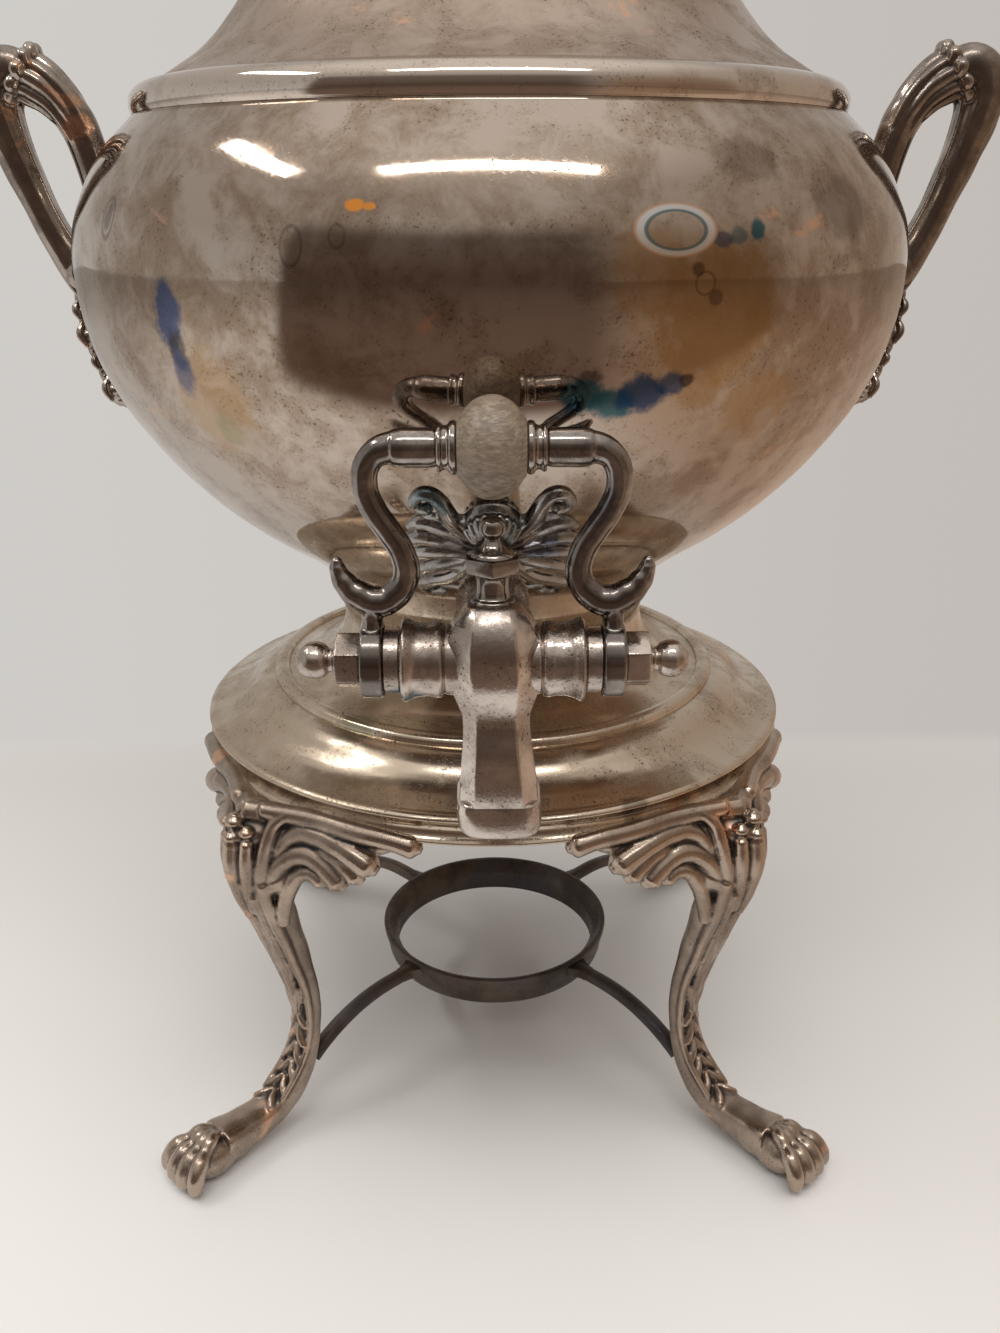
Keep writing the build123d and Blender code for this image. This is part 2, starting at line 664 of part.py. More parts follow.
# Tap body: an eight-sided block and spout, the cross barrel, the shank and the threaded tail
spout_levels = [
    (block_top, 0.74 * block_w),
    (0.66 * block_top, 0.95 * block_w),
    (0.0, block_w),
    (-0.5 * spout_neck_drop, 0.88 * block_w),
    (-spout_neck_drop, spout_neck_w),
    (-0.5 * (spout_neck_drop + spout_len - ferrule_h), 0.5 * (spout_neck_w + spout_mouth_w)),
    (-(spout_len - ferrule_h), spout_mouth_w),
]
with BuildPart() as tap_body:
    for level, across in spout_levels:
        with BuildSketch(Plane.XY.offset(tap_z + level)):
            with Locations((0, tap_y)):
                RegularPolygon(radius=across / 2, side_count=8, major_radius=False, rotation=22.5)
    loft()
    with BuildSketch(Plane.XZ.offset(socket_out)):
        with Locations((0, tap_z)):
            RegularPolygon(radius=shank_w / 2, side_count=8, major_radius=False, rotation=22.5)
    extrude(amount=tap_reach - socket_out)
    with BuildSketch(Plane.XZ.offset(socket_in - tail_out)):
        with Locations((0, tap_z)):
            Circle(tail_r)
    extrude(amount=socket_out - socket_in + tail_out)
    with BuildSketch(Plane.XY.offset(tap_z)):
        with BuildLine():
            Polyline((0, tap_y), (0, tap_y + barrel_r), (0.55 * barrel_half, tap_y + barrel_r))
            ThreePointArc(
                (0.55 * barrel_half, tap_y + barrel_r),
                (0.76 * barrel_half, tap_y + barrel_r + 0.15),
                (0.93 * barrel_half, tap_y + barrel_rim_r),
            )
            Polyline(
                (0.93 * barrel_half, tap_y + barrel_rim_r),
                (barrel_half, tap_y + barrel_rim_r - 0.5),
                (barrel_half, tap_y),
                (0, tap_y),
            )
        make_face()
        mirror(about=Plane.YZ)
    revolve(axis=Axis((0, tap_y, tap_z), (1, 0, 0)))
    with BuildSketch(Plane.YZ):
        with Locations((tap_y, tap_z)):
            Circle(plug_r + plug_clearance)
    extrude(amount=2 * barrel_half, both=True, mode=Mode.SUBTRACT)
    with BuildSketch(Plane.XZ.offset(socket_in - tail_out)):
        with Locations((0, tap_z)):
            Circle(water_r)
    extrude(amount=tap_reach - socket_in + tail_out, mode=Mode.SUBTRACT)
    with BuildSketch(Plane.XZ.offset(tap_reach)):
        with BuildLine():
            Polyline(
                (0, tap_z),
                (water_r, tap_z),
                (water_r, tap_z - spout_neck_drop),
                (outlet_r, tap_z - spout_len + ferrule_h),
                (0, tap_z - spout_len + ferrule_h),
                close=True,
            )
        make_face()
    revolve(axis=Axis((0, tap_y, 0), (0, 0, 1)), mode=Mode.SUBTRACT)
finish(tap_body, "tap_body")

# Band round the outlet
with BuildPart() as spout_ferrule:
    for level, across in ((spout_len - ferrule_h, 1.03), (spout_len - 0.4 * ferrule_h, 1.03), (spout_len, 0.93)):
        with BuildSketch(Plane.XY.offset(tap_z - level)):
            with Locations((0, tap_y)):
                RegularPolygon(
                    radius=across * spout_mouth_w / 2, side_count=8, major_radius=False, rotation=22.5
                )
    loft()
    with BuildSketch(Plane.XY.offset(tap_z - spout_len)):
        with Locations((0, tap_y)):
            Circle(outlet_r)
    extrude(amount=ferrule_h, mode=Mode.SUBTRACT)
finish(spout_ferrule, "spout_ferrule")

# Washer and lock nut on the tail, inside the vessel
washer_y = socket_in - tail_washer_t
with BuildPart() as tap_washer:
    with BuildSketch(Plane.XZ.offset(washer_y)):
        with Locations((0, tap_z)):
            Circle(socket_r)
            Circle(tail_r + tail_clearance, mode=Mode.SUBTRACT)
    extrude(amount=tail_washer_t)
finish(tap_washer, "tap_washer")

with BuildPart() as tap_lock_nut:
    with BuildSketch(Plane.XZ.offset(washer_y - lock_nut_h)):
        with Locations((0, tap_z)):
            RegularPolygon(radius=lock_nut_af / 2, side_count=6, major_radius=False)
            Circle(tail_r, mode=Mode.SUBTRACT)
    extrude(amount=lock_nut_h)
finish(tap_lock_nut, "tap_lock_nut")

# Bonnet cap on top of the tap: neck, hexagon, bell and ball
cap_z = tap_z + block_top
hex_z = cap_z + cap_neck_h
bell_z = hex_z + cap_flange_h
with BuildPart() as tap_cap:
    with BuildSketch(Plane.XZ.offset(tap_reach)):
        with BuildLine():
            Polyline(
                (0, cap_z),
                (1.2 * cap_neck_r, cap_z),
                (1.2 * cap_neck_r, cap_z + 1.0),
                (cap_neck_r, cap_z + 1.6),
                (cap_neck_r, hex_z),
                (0, hex_z),
            )
            Line((0, hex_z), (0, cap_z))
        make_face()
        with BuildLine():
            Polyline((0, hex_z), (0.44 * cap_af, hex_z), (0.44 * cap_af, bell_z))
            ThreePointArc(
                (0.44 * cap_af, bell_z),
                (0.3 * cap_af, bell_z + 0.6 * cap_neck_r),
                (0.15 * cap_af, bell_z + 1.3 * cap_neck_r),
            )
            Polyline((0.15 * cap_af, bell_z + 1.3 * cap_neck_r), (0, bell_z + 1.3 * cap_neck_r), (0, hex_z))
        make_face()
    revolve(axis=Axis((0, tap_y, 0), (0, 0, 1)))
    with BuildSketch(Plane.XY.offset(hex_z)):
        with Locations((0, tap_y)):
            RegularPolygon(radius=cap_af / 2, side_count=6, major_radius=False, rotation=30)
    extrude(amount=cap_flange_h)
    with Locations((0, tap_y, bell_z + 1.3 * cap_neck_r + 0.8 * cap_ball_r)):
        Sphere(cap_ball_r)
finish(tap_cap, "tap_cap")

# Plug of the tap with its elbow port, and the spindles at both ends
collar_x = barrel_half + axial_gap
eye_x = collar_x + collar_w
nut_x = eye_x + eye_w
ball_x = nut_x + end_nut_w + end_ball_out
with BuildPart() as tap_plug:
    with BuildSketch(Plane.YZ):
        with Locations((tap_y, tap_z)):
            Circle(plug_r)
    extrude(amount=collar_x, both=True)
    with BuildSketch(Plane.YZ):
        with Locations((tap_y, tap_z)):
            Circle(spindle_r)
    extrude(amount=nut_x + 0.8 * end_nut_w, both=True)
    with BuildSketch(Plane.XY.offset(tap_z)):
        with Locations((0, tap_y)):
            Circle(water_r)
    extrude(amount=-2 * plug_r, mode=Mode.SUBTRACT)
    with BuildSketch(Plane.XZ.offset(tap_reach)):
        with Locations((0, tap_z)):
            Circle(water_r)
    extrude(amount=2 * plug_r, mode=Mode.SUBTRACT)
finish(tap_plug, "tap_plug")

# Collars between the barrel and the lever's eyes
with BuildPart() as plug_collar:
    with BuildSketch(Plane.YZ.offset(collar_x)):
        with Locations((tap_y, tap_z)):
            Circle(collar_out_r)
            Circle(spindle_r, mode=Mode.SUBTRACT)
    extrude(amount=collar_w)
both_sides(plug_collar, "plug_collar")

# Nuts that end in a ball, on the spindle's ends
with BuildPart() as end_nut:
    with BuildSketch(Plane.YZ.offset(nut_x)):
        with Locations((tap_y, tap_z)):
            RegularPolygon(radius=end_nut_af / 2, side_count=6, major_radius=False)
    extrude(amount=end_nut_w)
    chamfer(end_nut.edges().filter_by(Plane.YZ).group_by(Axis.X)[-1], length=0.7)
    with BuildSketch(Plane.YZ.offset(nut_x + end_nut_w)):
        with Locations((tap_y, tap_z)):
            Circle(0.62 * end_ball_r)
    extrude(amount=end_ball_out)
    with Locations((ball_x, tap_y, tap_z)):
        Sphere(end_ball_r)
    with BuildSketch(Plane.YZ.offset(nut_x)):
        with Locations((tap_y, tap_z)):
            Circle(spindle_r)
    extrude(amount=0.8 * end_nut_w, mode=Mode.SUBTRACT)
both_sides(end_nut, "end_nut")

# Lever arms: an eye, a short stem, and a wire that runs from an upturned hook in an S up to the bar.
# The wire's line is given by how far out it is, in wire radii, and how high, as a share of the lever
eye_mid = eye_x + eye_w / 2
wire_line = [
    (2.28, 0.482), (1.69, 0.386), (0.59, 0.311), (-0.72, 0.285), (-2.03, 0.322), (-2.83, 0.408), (-2.55, 0.524),
    (-1.62, 0.621), (-0.52, 0.726), (0.07, 0.837), (-0.34, 0.946), (-1.66, 0.998), (-2.76, 1.0),
]
wire_points = [(eye_mid + out * arm_wire_r, up * lever_h) for out, up in wire_line]
wire_widths = [0.6 * arm_wire_r, 1.5 * arm_wire_r, 1.9 * arm_wire_r] + [2 * arm_wire_r] * 9 + [2.4 * arm_wire_r]
wire = round_bar(wire_points, wire_widths, wire_widths)
stem_points = [(eye_mid, 0.69 * eye_r), (eye_mid - 0.04 * eye_w, 1.09 * eye_r), (eye_mid - 0.24 * eye_w, 1.55 * eye_r)]
stem = round_bar(stem_points, [1.18 * eye_w, 0.98 * eye_w, 1.02 * eye_w], [0.9 * eye_w, 0.82 * eye_w, 1.1 * eye_w])
bar_end = eye_mid - 2.07 * arm_wire_r
ferrule_x = grip_half + ferrule_w
grip_axis = Axis((0, grip_y, grip_z), (1, 0, 0))
with BuildPart() as lever_arm:
    with Locations(Location((0, tap_y, tap_z), (degrees(lever_lean), 0, 0))):
        add(wire)
        add(stem)
    with BuildSketch(Plane.YZ.offset(eye_x)):
        with Locations((tap_y, tap_z)):
            Circle(eye_r)
    extrude(amount=eye_w)
    with BuildSketch(Plane.YZ.offset(eye_x)):
        with Locations((tap_y, tap_z)):
            Circle(spindle_r)
    extrude(amount=eye_w, mode=Mode.SUBTRACT)
    with BuildSketch(Plane.XZ.offset(-grip_y)):
        with BuildLine():
            ThreePointArc(
                (ferrule_x, grip_z + 0.94 * bar_r),
                (0.5 * (ferrule_x + bar_end), grip_z + bar_r),
                (bar_end, grip_z + 0.92 * bar_r),
            )
            Polyline(
                (bar_end, grip_z + 0.92 * bar_r),
                (bar_end, grip_z),
                (ferrule_x, grip_z),
                (ferrule_x, grip_z + 0.94 * bar_r),
            )
        make_face()
    revolve(axis=grip_axis)
    with BuildSketch(Plane.YZ.offset(ferrule_x)):
        with Locations((grip_y, grip_z)):
            Circle(grip_rod_r)
    extrude(amount=ferrule_w, mode=Mode.SUBTRACT)
both_sides(lever_arm, "lever_arm")

# Ferrules, rod and grip between the arms
with BuildPart() as grip_ferrule:
    with BuildSketch(Plane.XZ.offset(-grip_y)):
        with BuildLine():
            Polyline(
                (grip_half, grip_z + grip_rod_r),
                (grip_half, grip_z + ferrule_r),
                (grip_half + 0.3 * ferrule_w, grip_z + ferrule_r),
                (grip_half + 0.7 * ferrule_w, grip_z + 0.86 * ferrule_r),
                (ferrule_x, grip_z + 0.92 * ferrule_r),
                (ferrule_x, grip_z + grip_rod_r),
                close=True,
            )
        make_face()
    revolve(axis=grip_axis)
both_sides(grip_ferrule, "grip_ferrule")

with BuildPart() as grip_rod:
    with BuildSketch(Plane.YZ):
        with Locations((grip_y, grip_z)):
            Circle(grip_rod_r)
    extrude(amount=ferrule_x + ferrule_w, both=True)
finish(grip_rod, "grip_rod")

with BuildPart() as lever_grip:
    with BuildSketch(Plane.XZ.offset(-grip_y)):
        with BuildLine():
            swell = ThreePointArc(
                (-grip_half, grip_z + grip_end_r), (0, grip_z + grip_r), (grip_half, grip_z + grip_end_r)
            )
            Polyline(
                swell @ 1, (grip_half, grip_z + grip_rod_r), (-grip_half, grip_z + grip_rod_r), swell @ 0
            )
        make_face()
    revolve(axis=grip_axis)
finish(lever_grip, "lever_grip")


def band_line(inset):
    """Line of the band at the lid's foot, moved in by the given amount, and the bell's line over it."""
    shoulder = (band_r - band_inset, seat_z + band_h)
    bell = Spline(
        shoulder,
        (lid_flare_r, seat_z + lid_flare_h),
        (lid_neck_r, seat_z + lid_neck_h),
        (lid_crown_r, seat_z + lid_crown_h),
        (0, crown_z),
        tangents=[(-1, 0.3), (-1, 0)],
        mode=Mode.PRIVATE,
    )
    bell = beside(bell, inset)
    foot = Line((band_r - inset, seat_z), (band_r - inset, seat_z + 0.4 * band_h))
    ThreePointArc(foot @ 1, (band_r - 0.3 * band_inset - 0.7 * inset, seat_z + 0.82 * band_h - 0.7 * inset), bell @ 0)
    return foot @ 0, bell @ 1


# Lid shell: polished band, bell flare and crown, with a hole for the finial's stud
with BuildPart() as lid_shell:
    with BuildSketch(Plane.XZ):
        with BuildLine():
            outer_foot, outer_crown = band_line(0)
            inner_foot, inner_crown = band_line(sheet)
            Line(outer_foot, inner_foot)
            Line(outer_crown, inner_crown)
        make_face()
    revolve(axis=Axis.Z)
    with BuildSketch(Plane.XY.offset(seat_z)):
        Circle(finial_stud_r)
    extrude(amount=2 * lid_h, mode=Mode.SUBTRACT)
finish(lid_shell, "lid_shell")

with BuildPart() as lid_core:
    with BuildSketch(Plane.XZ):
        with BuildLine():
            outer_foot, outer_crown = band_line(0)
            Polyline(outer_foot, (0, seat_z), outer_crown)
        make_face()
    revolve(axis=Axis.Z)

# Bezel under the lid, a loose fit in the mouth ring
bezel_r = mouth_lip_r - lid_clearance
with BuildPart() as lid_bezel:
    with BuildSketch(Plane.XZ):
        with BuildLine():
            Polyline(
                (bezel_r - bezel_t, seat_z - bezel_h),
                (bezel_r, seat_z - bezel_h),
                (bezel_r, seat_z),
                (band_r - sheet, seat_z),
                (band_r - sheet, seat_z + sheet),
                (bezel_r - bezel_t, seat_z + sheet),
                close=True,
            )
        make_face()
    revolve(axis=Axis.Z)
finish(lid_bezel, "lid_bezel")

# Turned finial with its stud, seated on the crown
with BuildPart() as lid_finial:
    with BuildSketch(Plane.XZ):
        with BuildLine():
            Polyline((0, crown_z - 4.0), (finial_foot_r, crown_z - 4.0), (finial_foot_r, crown_z + 1.6))
            ThreePointArc(
                (finial_foot_r, crown_z + 1.6),
                (0.56 * finial_foot_r, crown_z + 0.09 * finial_h),
                (0.4 * finial_foot_r, crown_z + 0.26 * finial_h),
            )
            ThreePointArc(
                (0.4 * finial_foot_r, crown_z + 0.26 * finial_h),
                (0.58 * finial_foot_r, crown_z + 0.31 * finial_h),
                (0.4 * finial_foot_r, crown_z + 0.36 * finial_h),
            )
            ThreePointArc(
                (0.4 * finial_foot_r, crown_z + 0.36 * finial_h),
                (finial_knob_r, crown_z + 0.64 * finial_h),
                (0.3 * finial_knob_r, crown_z + 0.9 * finial_h),
            )
            Polyline(
                (0.3 * finial_knob_r, crown_z + 0.9 * finial_h),
                (0.22 * finial_knob_r, crown_z + finial_h),
                (0, crown_z + finial_h),
                (0, crown_z - 4.0),
            )
        make_face()
    revolve(axis=Axis.Z)
    add(lid_core.part, mode=Mode.SUBTRACT)
    with BuildSketch(Plane.XY.offset(crown_z + 1.0)):
        Circle(finial_stud_r)
    extrude(amount=-(1.0 + finial_stud_l))
finish(lid_finial, "lid_finial")

# Washer and nut that hold the finial, under the crown
washer_z = crown_z - sheet - finial_washer_t
with BuildPart() as finial_washer:
    with BuildSketch(Plane.XY.offset(washer_z)):
        Circle(finial_washer_r)
        Circle(finial_stud_r, mode=Mode.SUBTRACT)
    extrude(amount=finial_washer_t + 0.2 * sheet)
    add(lid_shell.part, mode=Mode.SUBTRACT)
finish(finial_washer, "finial_washer")

with BuildPart() as finial_nut:
    with BuildSketch(Plane.XY.offset(washer_z)):
        RegularPolygon(radius=finial_nut_af / 2, side_count=6, major_radius=False)
        Circle(finial_stud_r, mode=Mode.SUBTRACT)
    extrude(amount=-finial_nut_h)
finish(finial_nut, "finial_nut")
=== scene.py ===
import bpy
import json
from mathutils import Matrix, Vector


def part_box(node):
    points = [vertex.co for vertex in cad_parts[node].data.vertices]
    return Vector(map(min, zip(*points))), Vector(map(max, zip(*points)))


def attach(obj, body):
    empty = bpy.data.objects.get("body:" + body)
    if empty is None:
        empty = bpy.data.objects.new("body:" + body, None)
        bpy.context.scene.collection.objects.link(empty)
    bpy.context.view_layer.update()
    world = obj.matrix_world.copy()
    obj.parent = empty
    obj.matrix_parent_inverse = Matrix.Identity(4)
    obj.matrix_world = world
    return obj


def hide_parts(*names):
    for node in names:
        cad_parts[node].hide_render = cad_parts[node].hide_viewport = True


bl_info = {
    "name": "Plated samovar",
    "version": (1, 0, 0),
    "blender": (4, 5, 0),
    "location": "3D View > Sidebar > Samovar",
    "description": "Dresses the samovar's frame with its visible pieces, finishes, stage and camera",
    "category": "Add Mesh",
}

import json
from math import atan2, cos, pi, radians, sin

import bpy
import numpy as np
from mathutils import Matrix, Vector

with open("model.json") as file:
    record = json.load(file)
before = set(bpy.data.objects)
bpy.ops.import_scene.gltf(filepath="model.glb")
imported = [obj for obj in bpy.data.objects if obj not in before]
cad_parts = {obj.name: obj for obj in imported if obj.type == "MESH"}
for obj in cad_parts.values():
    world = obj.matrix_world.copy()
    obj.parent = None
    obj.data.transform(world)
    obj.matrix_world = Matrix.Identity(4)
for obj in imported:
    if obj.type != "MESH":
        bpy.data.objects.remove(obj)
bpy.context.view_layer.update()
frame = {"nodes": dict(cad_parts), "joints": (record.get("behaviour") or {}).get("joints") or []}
nodes = frame["nodes"]

MM = 0.001
WELD = 0.00001  # points nearer than this, in metres, are one
SPUN_EDGE, PRISM_EDGE = radians(32), radians(28)  # edges that turn by more stay sharp
materials = {}

# Places that the frame gives, in millimetres
lever_joint = next(joint for joint in frame["joints"] if joint["name"] == "tap_lever")
TAP_Y, TAP_Z = [place / MM for place in lever_joint["pos_m"][1:]]
SKIRT_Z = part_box("base_dome")[0].z / MM
SEAT_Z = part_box("body_shell")[1].z / MM
CROWN_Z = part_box("lid_shell")[1].z / MM
BEAD_Z = (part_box("bead_moulding")[0].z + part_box("bead_moulding")[1].z) / 2 / MM
RIM_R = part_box("base_dome")[1].x / MM
BAR_Z = (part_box("grip_rod")[0].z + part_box("grip_rod")[1].z) / 2 / MM
COLLAR_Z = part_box("foot_stem")[1].z / MM

# Half outline of the vessel, radius and height in millimetres
VESSEL = [
    (0, 167.0), (30, 168.6), (54, 177.0), (64.4, 184.0), (79.2, 194.4), (92.2, 206.0), (104.1, 220.2),
    (113.3, 235.0), (118.7, 250.0), (120.7, 266.0), (120.2, 276.0), (117.4, 285.0), (110.4, 297.4), (100.9, SEAT_Z),
]


# Selection and small modelling steps

def deselect():
    """Leaves object mode with nothing selected."""
    if bpy.context.mode != "OBJECT":
        bpy.ops.object.mode_set(mode="OBJECT")
    bpy.ops.object.select_all(action="DESELECT")


def pick(*objects):
    """Selects these objects alone, the first one active."""
    deselect()
    for item in objects:
        item.select_set(True)
    bpy.context.view_layer.objects.active = objects[0]
    return objects[0]


def apply_modifier(kind, **settings):
    """Adds a modifier to the active object and applies it."""
    piece = bpy.context.object
    bpy.ops.object.modifier_add(type=kind)
    modifier = piece.modifiers[-1]
    for key, value in settings.items():
        setattr(modifier, key, value)
    bpy.ops.object.modifier_apply(modifier=modifier.name)


def edit(step, **settings):
    """Runs a step of edit mode on all of the active mesh."""
    bpy.ops.object.mode_set(mode="EDIT")
    bpy.ops.mesh.select_all(action="SELECT")
    step(**settings)
    bpy.ops.object.mode_set(mode="OBJECT")


def named(piece, name):
    """Names a piece and its mesh."""
    piece.name = piece.data.name = name
    return piece


def joined(name, parts):
    """Several objects as one of that name."""
    piece = pick(*parts)
    if len(parts) > 1:
        bpy.ops.object.join()
    return named(piece, name)


def shifted(profile, along=0.0, up=0.0):
    """An outline's points counted from another place."""
    return [(first + along, second + up) for first, second in profile]


def new_curve(lines, corners=()):
    """Bezier lines through points of x, y, z and radius in millimetres, smooth but at the corners."""
    deselect()
    bpy.ops.curve.primitive_bezier_curve_add(location=(0, 0, 0))
    curve = bpy.context.object
    for index, line in enumerate(lines):
        spline = curve.data.splines[0] if index == 0 else curve.data.splines.new("BEZIER")
        spline.bezier_points.add(len(line) - len(spline.bezier_points))
        spline.radius_interpolation = "EASE"
        for number, (knot, (x, y, z, radius)) in enumerate(zip(spline.bezier_points, line)):
            knot.co = Vector((x, y, z)) * MM
            knot.radius = radius
            knot.handle_left_type = knot.handle_right_type = "VECTOR" if number in corners else "AUTO"
    return curve


def blunt(end, inner):
    """A point just past a stroke's end, where it closes to a blunt tip."""
    step = (Vector(end[:3]) - Vector(inner[:3])).normalized() * 0.75 * end[3]
    return (*(Vector(end[:3]) + step), 0.4 * end[3])


def rods(lines, sides=4, runs=6):
    """Tapering round rods with blunt ends through points of x, y, z and radius, in one object."""
    curve = new_curve([[blunt(line[0], line[1]), *line, blunt(line[-1], line[-2])] for line in lines])
    curve.data.bevel_depth = MM
    curve.data.bevel_resolution = sides
    curve.data.resolution_u = runs
    curve.data.use_fill_caps = True
    bpy.ops.object.convert(target="MESH")
    return bpy.context.object


def bar(line, half_width, half_depth, square=1.0):
    """A bar in an upright plane: an oval, squared by lengthening its handles, swelled along the line."""
    deselect()
    bpy.ops.curve.primitive_bezier_circle_add(radius=1)
    section = bpy.context.object
    for knot in section.data.splines[0].bezier_points:
        ahead = knot.handle_right - knot.co
        knot.handle_left_type = knot.handle_right_type = "FREE"
        knot.handle_right = knot.co + square * ahead
        knot.handle_left = knot.co - square * ahead
    section.scale = (half_width * MM, half_depth * MM, 1)
    bpy.ops.object.transform_apply(scale=True)
    curve = new_curve([line])
    curve.data.twist_mode = "MINIMUM"
    curve.data.bevel_mode = "OBJECT"
    curve.data.bevel_object = section
    curve.data.use_fill_caps = True
    curve.data.resolution_u = 8
    bpy.ops.object.convert(target="MESH")
    piece = bpy.context.object
    bpy.data.objects.remove(section)
    return piece


def ball(x, y, z, radius, stretch=(1, 1, 1)):
    """A ball, or an egg where it is stretched."""
    deselect()
    bpy.ops.mesh.primitive_uv_sphere_add(segments=24, ring_count=16, radius=radius * MM, location=(0, 0, 0))
    piece = bpy.context.object
    piece.scale = stretch
    piece.location = Vector((x, y, z)) * MM
    bpy.ops.object.transform_apply(location=True, rotation=False, scale=True)
    return piece


def turned(name, profile, corners=(), steps=240, wall=0.0, along_x=False, fine=8):
    """A piece spun from its half profile: radius and height, or place and radius on the tap's cross axis."""
    if along_x:
        line = [(place, TAP_Y, along_x + radius, 1) for place, radius in profile]
        centre, axis = Vector((0, TAP_Y, along_x)) * MM, (1, 0, 0)
    else:
        line = [(radius, 0, height, 1) for radius, height in profile]
        centre, axis = Vector((0, 0, 0)), (0, 0, 1)
    curve = new_curve([line], corners)
    curve.data.resolution_u = fine
    bpy.ops.object.convert(target="MESH")
    piece = bpy.context.object
    edit(bpy.ops.mesh.spin, steps=steps, angle=2 * pi, center=centre, axis=axis)
    edit(bpy.ops.mesh.remove_doubles, threshold=WELD)
    edit(bpy.ops.mesh.normals_make_consistent, inside=False)
    if wall:
        apply_modifier("SOLIDIFY", thickness=wall * MM, offset=-1)
    bpy.ops.object.shade_smooth_by_angle(angle=SPUN_EDGE)
    return named(piece, name)


def moved(piece, place):
    """Sets a piece at a place in millimetres, in its mesh."""
    pick(piece)
    piece.location = Vector(place) * MM
    bpy.ops.object.transform_apply(location=True)
    return piece


def own_copy(piece, name):
    """A copy with its own mesh."""
    pick(piece)
    bpy.ops.object.duplicate()
    return named(bpy.context.object, name)


def turned_copy(piece, name, degrees):
    """A copy turned about the upright axis."""
    copy = own_copy(piece, name)
    copy.rotation_euler.z = radians(degrees)
    bpy.ops.object.transform_apply(rotation=True)
    return copy


def mirrored_copy(piece, name):
    """The left-hand piece of a right-hand one."""
    copy = own_copy(piece, name)
    copy.scale.x = -1
    bpy.ops.object.transform_apply(scale=True)
    edit(bpy.ops.mesh.normals_make_consistent, inside=False)
    return copy


def prism(sides, radius, depth, place, turns=(), edge=0.5):
    """An upright prism with eased edges, turned in steps and set at its place."""
    deselect()
    bpy.ops.mesh.primitive_cylinder_add(vertices=sides, radius=radius * MM, depth=depth * MM, location=(0, 0, 0))
    piece = bpy.context.object
    for turn in turns:
        piece.rotation_euler = turn
        bpy.ops.object.transform_apply(rotation=True)
    moved(piece, place)
    apply_modifier("BEVEL", width=edge * MM, segments=2, limit_method="ANGLE")
    bpy.ops.object.shade_smooth_by_angle(angle=PRISM_EDGE)
    return piece


def cast(name, parts, voxel, reach, rounds=2):
    """Overlapping closed parts as one cast skin, with its relief stored point by point."""
    piece = joined(name, parts)
    apply_modifier("REMESH", mode="VOXEL", voxel_size=voxel * MM)
    apply_modifier("SMOOTH", factor=0.5, iterations=rounds)
    bpy.ops.object.shade_smooth()
    mark_relief(piece, reach)
    return piece


def mark_relief(piece, reach):
    """Stores how far each point stands above the skin averaged round it, in millimetres."""
    mesh = piece.data
    count = len(mesh.vertices)
    points = np.empty(3 * count)
    mesh.vertices.foreach_get("co", points)
    points = points.reshape(-1, 3)
    normals = np.empty(3 * count, dtype=np.float32)
    mesh.vertex_normals.foreach_get("vector", normals)
    edges = np.empty(2 * len(mesh.edges), dtype=np.int32)
    mesh.edges.foreach_get("vertices", edges)
    first, second = edges.reshape(-1, 2).T
    links = np.maximum(np.bincount(edges, minlength=count), 1)[:, None]
    even = points.copy()
    for _ in range(reach):
        total = np.empty_like(even)
        for axis in range(3):
            total[:, axis] = np.bincount(first, even[second, axis], count)
            total[:, axis] += np.bincount(second, even[first, axis], count)
        even = 0.5 * even + 0.5 * total / links
    height = ((points - even) * normals.reshape(-1, 3)).sum(axis=1) / MM
    store = mesh.attributes.new("relief", "FLOAT", "POINT")
    store.data.foreach_set("value", height.astype(np.float32))


def dress(piece, finish, slot, body, *replaced):
    """Gives a piece its finish and its body, and hides the nodes that it stands for. The slot is not used."""
    piece.data.materials.clear()
    piece.data.materials.append(materials[finish])
    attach(piece, body)
    if replaced:
        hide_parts(*replaced)
    return piece


def spun(name, profile, finish, slot, body, node, **how):
    """A spun piece that stands for a node, dressed."""
    return dress(turned(name, profile, **how), finish, slot, body, node)


def dress_pair(right, name, finish, slot, node):
    """Dresses a right-hand piece of the lever and its mirror image."""
    dress(right, finish, slot, "lever", node + "_right")
    dress(mirrored_copy(right, name + "_left"), finish, slot, "lever", node + "_left")


def dress_node(name, finish):
    """Gives a frame node that stays its finish."""
    mesh = nodes[name].data
    mesh.materials.clear()
    mesh.materials.append(materials[finish])


# Finishes

